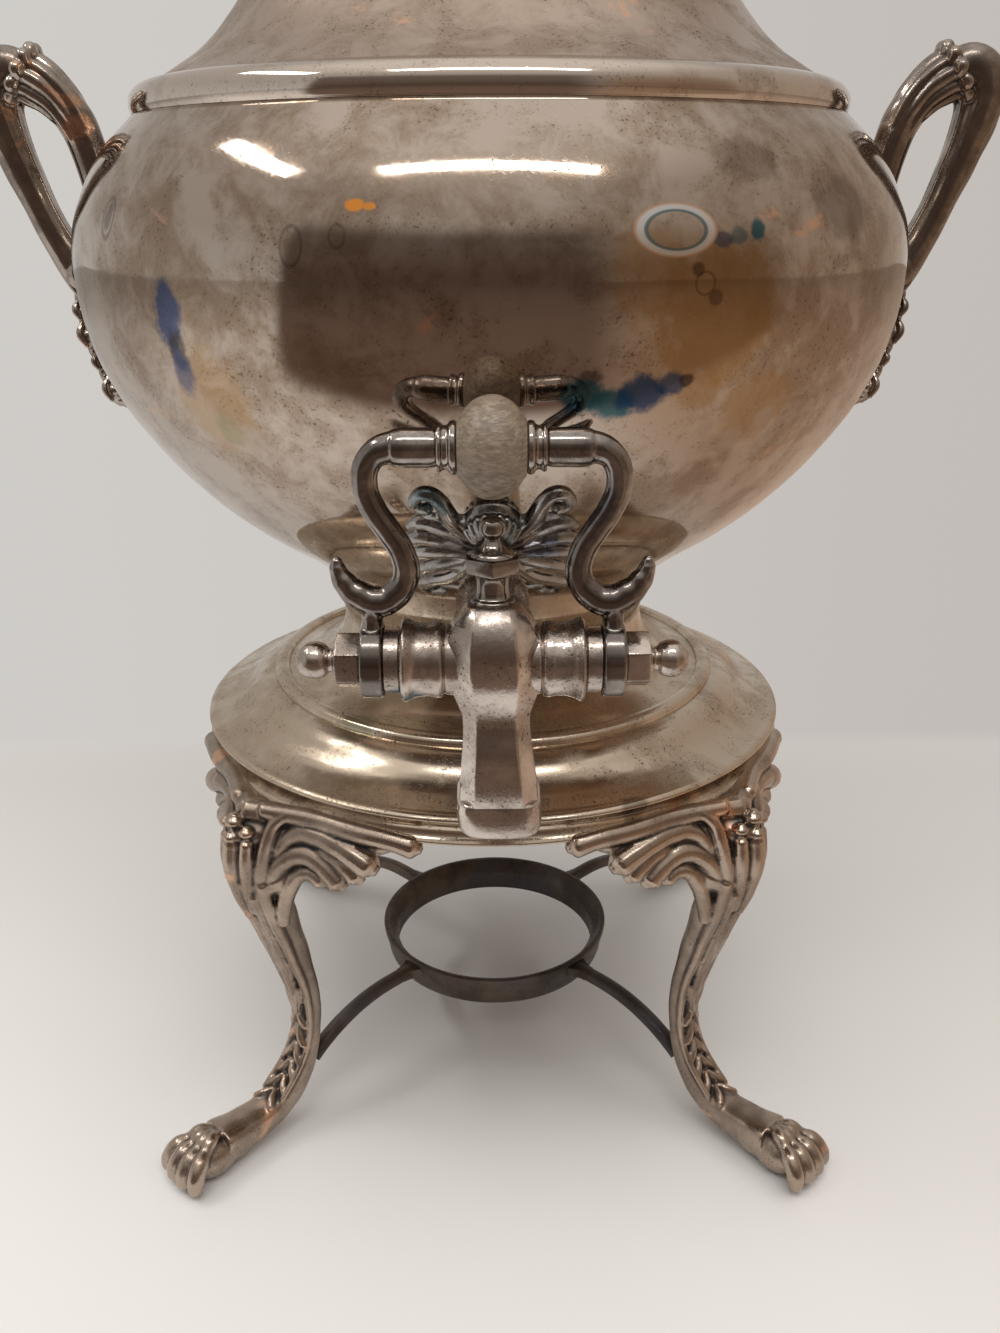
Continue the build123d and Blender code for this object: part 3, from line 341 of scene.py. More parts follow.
class Shade:
    """Short calls that build one material from nodes."""

    def __init__(self, name):
        self.material = bpy.data.materials.new(name)
        self.material.use_nodes = True
        self.tree = self.material.node_tree
        self.shader = self.tree.nodes["Principled BSDF"]
        self.place = self.node("ShaderNodeTexCoord").outputs["Object"]

    def node(self, kind, inputs=(), **settings):
        made = self.tree.nodes.new(kind)
        for key, value in settings.items():
            setattr(made, key, value)
        for key, value in dict(inputs).items():
            self.feed(made.inputs[key], value)
        return made

    def feed(self, socket, value):
        if isinstance(value, bpy.types.NodeSocket):
            self.tree.links.new(value, socket)
        else:
            socket.default_value = value

    def sum(self, kind, first, second=0.0):
        """One of Blender's sums on two numbers."""
        return self.node("ShaderNodeMath", {0: first, 1: second}, operation=kind).outputs[0]

    def times(self, first, second):
        return self.sum("MULTIPLY", first, second)

    def plus(self, first, second):
        return self.sum("ADD", first, second)

    def stretched(self, scale, turn=(0, 0, 0)):
        """Object coordinates scaled axis by axis, after a turn in degrees."""
        mapped = self.node("ShaderNodeMapping", {"Vector": self.place}, vector_type="TEXTURE")
        mapped.inputs["Rotation"].default_value = [radians(angle) for angle in turn]
        mapped.inputs["Scale"].default_value = [1 / size for size in scale]
        return mapped.outputs[0]

    def noise(self, scale, detail, rough=0.55, twist=0.0, source=None):
        inputs = {"Vector": source or self.place, "Scale": scale, "Detail": detail}
        inputs.update({"Roughness": rough, "Distortion": twist})
        return self.node("ShaderNodeTexNoise", inputs).outputs[0]

    def band(self, value, low, high, start=0.0, end=1.0):
        """A smooth step from start to end as the value goes from low to high."""
        inputs = {"Value": value, "From Min": low, "From Max": high, "To Min": start, "To Max": end}
        return self.node("ShaderNodeMapRange", inputs, interpolation_type="SMOOTHSTEP").outputs[0]

    def mix(self, share, first, second):
        """One colour over another."""
        made = self.node("ShaderNodeMix", data_type="RGBA")
        self.feed(made.inputs[0], share)
        self.feed(made.inputs[6], (*first, 1) if isinstance(first, tuple) else first)
        self.feed(made.inputs[7], (*second, 1) if isinstance(second, tuple) else second)
        return made.outputs[2]

    def vector(self, kind, first, second=(0, 0, 0)):
        """One of Blender's sums on two vectors."""
        return self.node("ShaderNodeVectorMath", {0: first, 1: second}, operation=kind).outputs

    def distance(self, centre, squash):
        """How far a place is from a point in millimetres, with heights counted squash times."""
        away = self.vector("SUBTRACT", self.place, tuple(MM * part for part in centre))[0]
        return self.vector("LENGTH", self.vector("MULTIPLY", away, (1, 1, squash))[0])["Value"]

    def near(self, centre, radius, soft, squash):
        """1 inside a ball round a point in millimetres, 0 outside it, with a ragged edge."""
        length = self.distance(centre, squash)
        ragged = self.noise(260, 5, 0.6)
        reach = self.sum("MULTIPLY_ADD", ragged, -radius * MM * soft)
        reach.node.inputs[2].default_value = radius * MM * soft * 0.5
        return self.band(self.plus(length, reach), radius * MM, radius * MM * 0.55)

    def ring(self, centre, radius, width, squash):
        """1 along a ring round a point in millimetres, 0 off it."""
        off = self.sum("ABSOLUTE", self.sum("SUBTRACT", self.distance(centre, squash), radius * MM))
        return self.band(off, width * MM, 0.4 * width * MM)

    def attribute(self, name):
        return self.node("ShaderNodeAttribute", attribute_name=name).outputs["Fac"]

    def bump(self, height, depth, normal=None):
        """A bump of that depth in millimetres."""
        inputs = {"Height": height, "Distance": depth * MM, "Strength": 1.0}
        if normal:
            inputs["Normal"] = normal
        return self.node("ShaderNodeBump", inputs).outputs[0]

    def finish(self, colour, rough, metal=1.0, normal=None):
        self.feed(self.shader.inputs["Base Color"], colour)
        self.feed(self.shader.inputs["Roughness"], rough)
        self.shader.inputs["Metallic"].default_value = metal
        if normal:
            self.feed(self.shader.inputs["Normal"], normal)
        return self.material


class RoomShade(Shade):
    """The same short calls for the room's tones."""

    def __init__(self, world):
        self.tree = world.node_tree
        self.place = self.node("ShaderNodeTexCoord").outputs["Generated"]


# Slants, seen from the samovar, over which the room's dark and brown zones come and go
DARK_COMES, DARK_GOES = (-1.48, -1.28), (0.85, 0.40)
BROWN_COMES, BROWN_GOES = (0.40, 0.85), (7.0, 2.6)


def room_zones(made, across, away):
    """Shares of the dark and the brown part of the room in front, by direction from the samovar."""
    ahead = made.sum("MAXIMUM", made.times(away, -1.0), 0.01)
    slant = made.sum("DIVIDE", across, ahead)
    front = made.band(ahead, 0.011, 0.03)
    dark = made.times(made.band(slant, *DARK_COMES), made.band(slant, *DARK_GOES))
    brown = made.times(made.band(slant, *BROWN_COMES), made.band(slant, *BROWN_GOES))
    return made.times(dark, front), made.times(brown, front)


SPECK_TONE = (0.10, 0.07, 0.055)
WORN_COPPER = (0.72, 0.43, 0.28)


def plated(name, silver, film, share, gloss, matte, specks, grain, pits=0.0, stains_and_glints=(), rings_and_reflection=(), wear_and_hollow_shade=None,
           copper=0.0, dents=0.0):
    """Silver plate under a brown film: mottled, speckled and scratched, with stains, tarnish rings and painted lamp
    highlights at their places, and dark tarnish with painted shade in the hollows.
    """
    made = Shade(name)
    clouds = made.noise(20, 9, 0.66, 0.6)
    patches = made.noise(85, 9, 0.68, 0.4)
    fine = made.noise(1300, 3, 0.6)
    blend = made.plus(made.times(clouds, 0.55), made.times(patches, 0.45))
    cover = made.band(blend, 0.60 - 0.3 * share, 0.76 - 0.3 * share)
    colour = made.mix(made.times(cover, 0.85), silver, film)
    dots = made.band(fine, 0.57, 0.66)
    clusters = made.band(patches, 0.42, 0.60)
    spotted = made.times(made.times(dots, clusters), specks)
    colour = made.mix(spotted, colour, SPECK_TONE)
    rough = made.plus(made.band(cover, 0, 1, gloss, matte), made.times(spotted, 0.3))
    if copper:
        bare = made.band(made.noise(34, 6, 0.65, 0.6), 0.66 - 0.1 * copper, 0.72 - 0.1 * copper)
        colour = made.mix(made.times(bare, 0.7), colour, WORN_COPPER)
    # Stains, and on the vessel two painted highlights, each laid as a ragged spot of colour
    for tone, centre, radius, strength, squash in stains_and_glints:
        spot = made.times(made.near(centre, radius, 0.9, squash), strength)
        colour = made.mix(spot, colour, tone)
    # Tarnish rings, and on the vessel a painted reflection of a round lamp
    for tone, centre, radius, width, strength, squash in rings_and_reflection:
        line = made.times(made.ring(centre, radius, width, squash), strength)
        colour = made.mix(line, colour, tone)
    # Dark tarnish with painted shade in the hollows of the relief, and rubbed bright high points
    if wear_and_hollow_shade:
        hollow_tarnish_and_shade_tone, high_tone, depth = wear_and_hollow_shade
        relief = made.attribute("relief")
        hollow_tarnish_and_shade = made.band(relief, -0.02 * depth, -0.42 * depth)
        high = made.times(made.band(relief, 0.12 * depth, 0.5 * depth), made.band(patches, 0.35, 0.6))
        colour = made.mix(made.times(hollow_tarnish_and_shade, 0.9), colour, hollow_tarnish_and_shade_tone)
        colour = made.mix(made.times(high, 0.75), colour, high_tone)
        rough = made.plus(rough, made.times(hollow_tarnish_and_shade, 0.22))
        rough = made.sum("SUBTRACT", rough, made.times(high, 0.12))
    scratch_one = made.noise(1.0, 3, 0.6, 0.0, made.stretched((90, 2600, 700), (20, 35, 10)))
    scratch_two = made.noise(1.0, 3, 0.6, 0.0, made.stretched((2400, 110, 600), (-30, 10, 40)))
    scratches = made.sum("MAXIMUM", made.band(scratch_one, 0.66, 0.74), made.band(scratch_two, 0.67, 0.75))
    rough = made.plus(rough, made.times(scratches, 0.10))
    height = made.plus(made.times(fine, 0.6), made.times(scratches, -0.5))
    normal = made.bump(height, grain)
    if pits:
        pitted = made.band(made.noise(900, 3, 0.6), 0.45, 0.62)
        normal = made.bump(pitted, pits, normal)
    if dents:
        normal = made.bump(made.noise(26, 2, 0.4), dents, normal)
    return made.finish(colour, rough, 1.0, normal)


def on_vessel(across, height, lift=0.0):
    """A point on the vessel's front from its place across and its height, lifted square to the wall."""
    heights = [z for _, z in VESSEL]
    radii = [r for r, _ in VESSEL]
    radius = float(np.interp(height, heights, radii))
    slope = (np.interp(height + 1, heights, radii) - np.interp(height - 1, heights, radii)) / 2
    out, up = 1 / (1 + slope**2) ** 0.5, -slope / (1 + slope**2) ** 0.5
    turn = across / radius
    wide = radius + lift * out
    return wide * sin(turn), -wide * cos(turn), height + lift * up


def on_the_vessel(rows):
    """Stains, rings and painted highlights, with a point on the wall for their place across and their height."""
    return [(tone, on_vessel(across, height), *rest) for tone, across, height, *rest in rows]


def make_finishes():
    """All finishes of the samovar."""
    tones = bpy.context.scene.samovar_colours
    silver, film, blue, teal, copper, gold, black, ivory = (
        tuple(getattr(tones, key)) for key in ("silver", "film", "blue", "teal", "copper", "gold", "iron", "bone"))
    umber, pale, smoke, copper_glint = (0.05, 0.035, 0.028), (0.42, 0.355, 0.30), (0.10, 0.07, 0.05), (0.90, 0.36, 0.07)
    vessel_stains_and_glints = on_the_vessel([
        (gold, 52, 262, 20, 0.75, 1.0),
        (gold, 66, 240, 14, 0.6, 1.2),
        (gold, 34, 272, 12, 0.5, 1.0),
        (gold, -70, 240, 15, 0.5, 0.8),
        (gold, 48, 245, 8, 0.5, 1.4),
        (umber, 22, 249.6, 3.4, 0.6, 1.8),
        (teal, 20, 245.4, 7.0, 0.9, 1.5),
        (teal, 27, 243.4, 7.5, 0.9, 1.6),
        (blue, 34, 245.4, 8.0, 0.9, 1.5),
        (blue, 41, 247.4, 5.0, 0.8, 1.5),
        (umber, 45, 248, 2.6, 0.8, 1.3),
        (teal, 61.5, 279.5, 2.8, 0.9, 1.0),
        (teal, 56.5, 278.6, 3.4, 0.6, 1.3),
        (blue, 52, 278.0, 3.0, 0.6, 1.3),
        (blue, -81.6, 261, 6.0, 0.8, 0.62),
        (umber, -79.5, 253, 4.0, 0.7, 0.62),
        (blue, -79, 248, 4.5, 0.6, 0.62),
        (umber, -106, 282, 2.6, 0.6, 0.55),
        (umber, 46, 272, 2.0, 0.6, 1.0),
        (umber, 51, 266, 2.2, 0.5, 1.0),
        (smoke, 92, 284, 13, 0.5, 1.4),
        (smoke, 60, 294, 10, 0.35, 1.6),
        # Painted highlight: two copper-coloured glints of a lamp on the shoulder, laid as bright stains
        (copper_glint, -29, 285.2, 2.6, 1.0, 1.7),
        (copper_glint, -25.6, 285.0, 1.8, 0.9, 1.7),
        (pale, 60, 232, 4.0, 0.6, 0.8),
        (pale, 70, 237, 3.4, 0.6, 0.8),
        (pale, 52, 236, 3.0, 0.5, 0.7),
        (pale, -60, 232, 5.0, 0.5, 0.8),
        ((0.20, 0.24, 0.15), -67, 234, 5.0, 0.3, 0.8),
    ])
    vessel_rings_and_lamp_reflection = on_the_vessel([
        # Painted reflection: these three rings round one point stand for a round lamp mirrored on the shoulder, tinted
        # copper, pale and teal by the film
        ((0.70, 0.46, 0.30), 40.5, 280, 9.3, 1.1, 0.8, 1.8),
        ((0.74, 0.77, 0.79), 40.5, 280, 8.3, 1.6, 0.95, 1.8),
        (teal, 40.5, 280, 7.2, 0.7, 0.7, 1.8),
        (umber, -44, 277, 2.6, 0.45, 0.35, 0.6),
        (umber, -33, 279, 1.8, 0.4, 0.3, 0.7),
        (umber, -106, 282, 3.0, 0.6, 0.5, 0.55),
        (umber, 48, 269, 2.4, 0.4, 0.4, 1.0),
    ])
    materials["vessel"] = plated(
        "Vessel plate", silver, film, share=0.60, gloss=0.045, matte=0.125, specks=0.7, stains_and_glints=vessel_stains_and_glints,
        rings_and_reflection=vessel_rings_and_lamp_reflection, copper=0.1, grain=0.003, dents=0.2,
    )
    materials["lid"] = plated(
        "Lid plate", (0.49, 0.40, 0.335), (0.32, 0.245, 0.19), share=0.6, gloss=0.26, matte=0.40, specks=0.9,
        grain=0.006, dents=0.15, copper=0.3,
    )
    materials["band"] = plated(
        "Polished band", (0.60, 0.53, 0.47), (0.36, 0.28, 0.22), share=0.35, gloss=0.07, matte=0.18, specks=0.5,
        grain=0.003, copper=0.2,
    )
    materials["dome"] = plated(
        "Dome plate", (0.60, 0.515, 0.415), (0.46, 0.37, 0.28), share=0.55, gloss=0.16, matte=0.34, specks=0.9,
        grain=0.005, dents=0.15, stains_and_glints=[(umber, (40, -88, 126), 6, 0.5, 1.0), (copper, (52, -78, 125), 4, 0.5, 1.0),
                                         ((0.13, 0.14, 0.08), (-40, -60, 139), 8, 0.5, 1.0)],
    )
    # The first tone given for the hollows below is dark tarnish with painted shade
    materials["cast"] = plated(
        "Cast legs", (0.44, 0.36, 0.295), (0.27, 0.215, 0.175), share=0.55, gloss=0.24, matte=0.40, specks=0.6,
        wear_and_hollow_shade=((0.022, 0.028, 0.036), (0.62, 0.47, 0.365), 1.0), copper=0.6, grain=0.010,
    )
    materials["handle"] = plated(
        "Handle plate", (0.40, 0.35, 0.31), (0.17, 0.14, 0.12), share=0.65, gloss=0.11, matte=0.26, specks=0.5,
        wear_and_hollow_shade=((0.025, 0.026, 0.03), (0.56, 0.47, 0.39), 1.0), copper=0.8, grain=0.010,
    )
    materials["leaf"] = plated(
        "Leaf plate", (0.36, 0.345, 0.33), (0.17, 0.165, 0.165), share=0.55, gloss=0.14, matte=0.32, specks=0.4,
        wear_and_hollow_shade=((0.025, 0.037, 0.05), (0.60, 0.53, 0.45), 0.9), grain=0.010,
        stains_and_glints=[(blue, on_vessel(13, 205, 2), 9, 0.45, 1.6), (teal, on_vessel(-15, 219, 2), 6, 0.5, 1.0),
                (teal, on_vessel(3, 214, 4), 7, 0.3, 1.0)],
    )
    materials["tap"] = plated(
        "Tap metal", (0.64, 0.575, 0.525), (0.33, 0.275, 0.24), share=0.50, gloss=0.12, matte=0.27, specks=1.0,
        pits=0.012, grain=0.010, stains_and_glints=[(teal, (-20, TAP_Y - 4, TAP_Z - 8), 6, 0.7, 1.0)],
    )
    materials["lever"] = plated(
        "Dark silver", (0.42, 0.385, 0.36), (0.16, 0.14, 0.13), share=0.65, gloss=0.07, matte=0.17, specks=0.6,
        wear_and_hollow_shade=((0.03, 0.03, 0.035), (0.60, 0.54, 0.48), 1.2), grain=0.006,
        stains_and_glints=[(blue, (20, TAP_Y, BAR_Z - 10), 9, 0.3, 1.0)],
    )
    materials["fitting"] = plated(
        "Turned silver", (0.42, 0.385, 0.36), (0.17, 0.15, 0.135), share=0.6, gloss=0.07, matte=0.18, specks=0.6,
        grain=0.006,
    )
    materials["iron"] = iron(black)
    materials["bone"] = bone(ivory)
    materials["fibre"] = fibre()


def iron(tone):
    """Brown-black iron of the burner ring, with a soft blue cast."""
    made = Shade("Burner iron")
    clouds = made.noise(45, 6, 0.6)
    fine = made.noise(800, 4, 0.6)
    colour = made.mix(made.band(clouds, 0.4, 0.62), tuple(0.5 * part for part in tone), tone)
    bluish = made.times(made.band(made.noise(22, 4), 0.52, 0.66), 0.5)
    colour = made.mix(bluish, colour, (0.045, 0.055, 0.085))
    rough = made.band(fine, 0.3, 0.7, 0.38, 0.6)
    return made.finish(colour, rough, 0.75, made.bump(fine, 0.03))


def bone(tone):
    """Aged bone with a fine grain and brown flecks."""
    made = Shade("Aged bone")
    lines = made.noise(1.0, 7, 0.75, 0.6, made.stretched((420, 420, 1500)))
    clouds = made.noise(120, 4, 0.6)
    colour = made.mix(made.band(lines, 0.40, 0.64), tuple(0.5 * part for part in tone), tone)
    colour = made.mix(made.times(made.band(lines, 0.40, 0.33), 0.6), colour, (0.12, 0.09, 0.06))
    colour = made.mix(made.times(made.band(clouds, 0.52, 0.68), 0.35), colour, (0.20, 0.155, 0.105))
    made.shader.inputs["Subsurface Weight"].default_value = 0.08
    made.shader.inputs["Subsurface Radius"].default_value = (0.002, 0.0014, 0.0009)
    rough = made.band(lines, 0.3, 0.7, 0.42, 0.30)
    return made.finish(colour, rough, 0.0, made.bump(lines, 0.05))


def fibre():
    """Red-brown sealing fibre."""
    made = Shade("Sealing fibre")
    threads = made.noise(1.0, 4, 0.6, 0.2, made.stretched((1200, 300, 1200)))
    colour = made.mix(made.band(threads, 0.35, 0.65), (0.16, 0.06, 0.04), (0.28, 0.12, 0.08))
    return made.finish(colour, 0.7, 0.0, made.bump(threads, 0.04))


# Sizes and colours that a user would change

def size_property(name, description, size, unit="LENGTH", **limits):
    """A size that a user would change."""
    return bpy.props.FloatProperty(name=name, description=description, default=size, unit=unit, **limits)


class SAMOVAR_PG_sizes(bpy.types.PropertyGroup):
    """Sizes of the visual model and its stage"""
    sheet: size_property("Sheet", "Thickness of the spun skins", 0.0012, min=0.0004, max=0.0014)
    spout_lean: size_property("Spout lean", "How far the outlet stands to the right", 0.0014)
    leg_grain: size_property("Leg grain", "Voxel size of the cast legs", 0.00044, min=0.0003)
    table_size: size_property("Table", "Width of the white board", 8.0)
    tube_power: size_property("Tubes", "Power of the front tube lamp", 5.0, "POWER")
    overhead_power: size_property("Overhead", "Power of the soft light overhead", 36.0, "POWER")


def tone_property(name, description, tone):
    """A colour that a user would change."""
    return bpy.props.FloatVectorProperty(
        name=name, description=description, default=tone, subtype="COLOR", min=0, max=1)


class SAMOVAR_PG_colours(bpy.types.PropertyGroup):
    """Colours of the finishes"""
    silver: tone_property("Silver", "Bare plate", (0.50, 0.43, 0.37))
    film: tone_property("Film", "Brown film on the plate", (0.28, 0.20, 0.14))
    blue: tone_property("Blue", "Blue tarnish", (0.018, 0.060, 0.17))
    teal: tone_property("Teal", "Green-blue tarnish", (0.03, 0.13, 0.17))
    copper: tone_property("Copper", "Copper where the plate is worn", (0.62, 0.32, 0.16))
    gold: tone_property("Gold", "Golden tarnish", (0.36, 0.225, 0.10))
    iron: tone_property("Iron", "Iron of the burner ring and its arms", (0.135, 0.105, 0.085))
    bone: tone_property("Bone", "Bone of the grip", (0.29, 0.228, 0.17))
    table: tone_property("Table", "White board under the samovar", (0.70, 0.697, 0.69))


def context_sizes():
    """The scene's sizes."""
    return bpy.context.scene.samovar_sizes


def sheet():
    """Thickness of the spun skins in millimetres."""
    return context_sizes().sheet / MM


# Pieces

class SAMOVAR_OT_vessel(bpy.types.Operator):
    """Spins the vessel, its stem, the base dome and the bead moulding"""
    bl_idname = "samovar.vessel"
    bl_label = "Vessel and base"

    def execute(self, context):
        skin = sheet()
        spun("vessel", VESSEL, "vessel", "silver_plate", "urn", "body_shell", wall=skin, steps=256)
        stem_profile = [
            (54.0, COLLAR_Z), (54.0, 171.6), (53.8, 170.4), (51.6, 166.0), (49.6, 161.0), (49.6, 155.6),
            (52.6, 149.4), (58.6, 144.4), (64.0, 141.8), (69.5, 140.4),
        ]
        spun("stem", stem_profile, "dome", "silver_plate", "urn", "foot_stem", corners=(0, 1), wall=skin)
        dome_profile = [
            (64.3, BEAD_Z), (69.0, BEAD_Z - 0.1), (73.6, 139.0), (76.6, 138.2), (79.6, 136.4), (82.6, 133.8),
            (85.8, 131.6), (89.4, 130.0), (92.8, 128.8), (95.4, 128.1), (RIM_R, 127.0), (RIM_R - 0.5, 126.3),
            (95.0, 125.4), (94.4, 123.6), (94.9, 121.8), (RIM_R - 0.4, 120.8), (RIM_R, 120.1), (RIM_R - 0.3, SKIRT_Z),
        ]
        spun("dome", dome_profile, "dome", "silver_plate", "urn", "base_dome", wall=skin)
        moulding_profile = [(73.9, 138.2), (73.5, 140.4), (72.2, 141.5), (70.6, 141.8), (69.2, 141.3), (68.6, 140.2)]
        spun("moulding", moulding_profile, "dome", "silver_plate", "urn", "bead_moulding", wall=0.8)
        dress_node("mouth_ring", "lid")
        return {"FINISHED"}


class SAMOVAR_OT_lid(bpy.types.Operator):
    """Spins the lid's band and bell and its finial"""
    bl_idname = "samovar.lid"
    bl_label = "Lid"

    def execute(self, context):
        roll = [
            (101.0, 0), (101.4, 1.0), (101.5, 3.0), (100.8, 5.2), (99.2, 6.9), (96.8, 7.9), (94.6, 8.3), (93.2, 8.3),
        ]
        band = turned("lid_band", shifted(roll, up=SEAT_Z), corners=(0,), wall=sheet(), steps=256)
        dress(band, "band", "silver_plate", "lid")

        flare = [
            (94.3, 8.1), (88.4, 11.6), (81.0, 16.6), (72.4, 25.6), (64.5, 37.0), (55.6, 50.6), (44.0, 62.2),
            (24.0, 73.0),
        ]
        bell = shifted(flare, up=SEAT_Z) + shifted([(10.0, -0.9), (2.5, -0.1)], up=CROWN_Z)
        spun("lid_bell", bell, "lid", "silver_plate", "lid", "lid_shell", corners=(0,), wall=sheet(), steps=256)

        finial_profile = [
            (13.0, -2.0), (13.0, 1.2), (12.0, 1.9), (7.6, 3.6), (5.4, 6.4), (5.0, 9.0), (6.4, 10.2), (7.5, 11.8),
            (6.4, 13.2), (5.2, 13.8), (7.6, 17.0), (10.1, 21.5), (10.5, 25.0), (8.6, 30.2), (4.6, 33.6), (3.1, 34.6),
            (3.2, 36.2), (2.4, 37.6), (0, 38.0),
        ]
        finial = shifted(finial_profile, up=CROWN_Z)
        spun("finial", finial, "band", "silver_plate", "lid", "lid_finial", corners=(0, 1), steps=96)
        dress_node("lid_bezel", "band")
        dress_node("finial_washer", "tap")
        dress_node("finial_nut", "tap")
        return {"FINISHED"}


# Centre line of a leg in its own plane, reach and height, and its half width
LEG_LINE = [
    (96.5, 116.0), (99.4, 108.5), (100.2, 97.0), (97.0, 83.0), (92.5, 69.0), (88.5, 54.0), (86.6, 42.5),
    (87.2, 34.5), (89.0, 26.0), (92.4, 18.6), (98.0, 12.6), (106.0, 9.2), (115.0, 8.4), (124.0, 8.6),
]
LEG_HALF = [7.4, 8.6, 8.8, 7.6, 6.1, 5.0, 4.5, 4.5, 4.8, 5.1, 5.5, 6.0, 6.5, 7.4]
LEG_DEPTH = 0.80
PAW_X = 122.0

# How far the knee swells out at each height, how wide and how fast the swell fades, and its bend round the rim
KNEE_SWELL = [(84, 7.5), (92, 10.0), (100, 11.8), (108, 12.2), (115, 10.4), (121, 7.4), (128, 2.0)]
KNEE_SPREAD, KNEE_FALL, KNEE_BEND_R = 11.0, 2.718, 99.0


# How far to each side of a station the course of a line is taken, in stations
COURSE = 0.4


def off_line(line, along, out):
    """Reach and height of a point that stands off a line of stations, square to it."""
    stations = np.arange(len(line))

    def at(part, ahead=0.0):
        return np.interp(along + ahead, stations, [point[part] for point in line])

    course = Vector([at(part, COURSE) - at(part, -COURSE) for part in (0, 1)]).normalized()
    return float(at(0) - course.y * out), float(at(1) + course.x * out)


def shin(along, side, lift):
    """A point on a leg's outer face: stations along it, share of its half width, and lift."""
    half = np.interp(along, np.arange(len(LEG_HALF)), LEG_HALF)
    x, z = off_line(LEG_LINE, along, half * LEG_DEPTH * (1 - 0.35 * abs(side) ** 3) + lift)
    return x, float(side * half), z


def knee(side, height, lift):
    """A point on the knee's outer face: millimetres along the rim, height, and lift."""
    swell = np.interp(height, *zip(*KNEE_SWELL))
    radius = RIM_R + 0.8 + lift + swell * KNEE_FALL ** (-((side / KNEE_SPREAD) ** 2))
    turn = side / KNEE_BEND_R
    return float(radius * cos(turn)), float(radius * sin(turn)), height


def knee_rod(points, lift, flip=1):
    """A carved stroke on the knee, from points of side, height and radius."""
    return [(*knee(flip * side, height, lift), radius) for side, height, radius in points]


def shin_rod(points, lift, flip=1):
    """A carved stroke down the shin, from points of station, side share and radius."""
    return [(*shin(along, flip * side, lift), radius) for along, side, radius in points]


def leg_strokes():
    """The carving of one leg: both wings of scrolls, the acanthus, the borders and the shin's leaves."""
    wing = [
        [(0, 112, 5.0), (16, 113.2, 4.8), (30, 113.6, 4.2), (40, 115.0, 3.4), (48, 117.2, 2.6)],
        [(0, 105, 5.0), (10, 106.6, 4.6), (22, 108.0, 3.8), (32, 109.4, 3.0)],
        [(0, 118.4, 4.0), (24, 118.4, 3.0), (48, 118.6, 2.2)],
        [(0, 97, 6.0), (7, 98, 5.4), (11.4, 101, 4.4), (15, 104.4, 3.4)],
    ]
    rail = [(6, 120.4, 2.6), (20, 119.8, 3.0), (36, 119.4, 3.2), (48, 118.8, 3.2), (54, 117.8, 3.6)]
    lobe = [(20, 110.6, 1.8), (27, 109.6, 2.6), (33, 106.8, 3.2), (35.6, 104.8, 3.3)]
    scrolls = [
        [(9.6, 104, 1.5), (11.8, 110.8, 2.3), (16.2, 114.6, 2.9), (22.5, 115.4, 3.2), (30, 114.2, 3.6),
         (36.4, 111.8, 4.0), (40.2, 110.0, 4.3)],
        [(6.6, 90, 1.6), (8.4, 99, 2.6), (12.2, 105.6, 3.2), (17.6, 108.2, 3.4), (22.8, 107.2, 3.4),
         (27.0, 104.6, 3.6), (29.8, 102.2, 3.7)],
        [(23.4, 100.6, 2.7), (19.6, 102.2, 2.5), (15.8, 101.0, 2.7), (12.8, 96.8, 2.9), (10.8, 90.4, 2.7),
         (9.4, 83.0, 2.1)],
    ]
    leaves = [
        [(2.4, 86, 1.2), (3.4, 95, 2.0), (4.2, 104, 2.4), (4.4, 111.0, 2.2)],
        [(5.2, 86, 1.2), (6.4, 96, 2.0), (7.6, 104, 2.3), (8.8, 111.4, 2.3), (10.2, 117.0, 2.1), (13.0, 120.0, 1.8)],
    ]
    border = [(1.9, 0.92, 2.1), (2.8, 0.94, 1.9), (4.0, 0.92, 1.5), (6.0, 0.90, 1.2), (8.0, 0.88, 1.0),
              (10.4, 0.84, 0.9)]
    lines = []
    for flip in (1, -1):
        for lift, strokes in ((-4.0, wing), (-1.7, [rail]), (-1.6, [lobe]), (-0.7, scrolls), (0.2, leaves)):
            lines += [knee_rod(points, lift, flip) for points in strokes]
        lines.append(shin_rod(border, -0.2, flip))
        for share, start, end in ((0.30, 1.8, 5.8), (0.60, 2.2, 5.2)):
            middle = 0.5 * (start + end)
            leaf = [(start, share, 1.9), (middle, share * 0.95, 1.3), (end, share * 0.6, 0.8)]
            lines.append(shin_rod(leaf, 0.3, flip))
        for start in (3.4, 4.3, 5.2):
            lines.append(shin_rod([(start, 0.70, 0.8), (start + 0.4, 0.45, 1.3), (start + 1.1, 0.14, 0.9)], 0.5, flip))
        for start in (6.2, 7.0, 7.8, 8.6, 9.4, 10.2):
            lines.append(shin_rod([(start, 0.10, 0.7), (start + 0.45, 0.4, 1.2), (start + 0.75, 0.70, 1.0)], 0.2, flip))
    lines.append(knee_rod([(0, 84, 1.4), (0, 94, 2.2), (0, 103, 2.7), (0, 110.6, 2.4)], 0.5))
    lines.append(knee_rod([(0, 94, 5.5), (0, 102, 7.0), (0, 110, 7.6), (0, 117, 5.6)], -8.2))
    lines.append(shin_rod([(2.0, 0, 1.9), (3.6, 0, 1.4), (5.0, 0, 1.1), (6.4, 0, 0.8)], 0.6))
    for side, height, size in ((0, 117.4, 3.1), (-4.6, 115.0, 2.5), (4.6, 115.0, 2.5), (0, 112.6, 2.2)):
        x, y, z = knee(side, height, 0.9)
        lines.append([(x, y, z, size), (x, y, z - 0.4, size)])
    return lines


def paw_strokes():
    """Four toes that run from the paw's back over two knuckles to the floor."""
    toe = [(2, 12.4, 1.6), (6.6, 13.6, 2.4), (9.8, 12.0, 2.0), (13.2, 10.4, 2.9), (16.0, 7.0, 2.8), (16.6, 4.2, 2.5),
           (16.4, 2.6, 1.8)]
    return [
        [(PAW_X + reach * cos(angle), 1.25 * reach * sin(angle), height, radius) for reach, height, radius in toe]
        for angle in map(radians, (-21, -7, 7, 21))
    ]


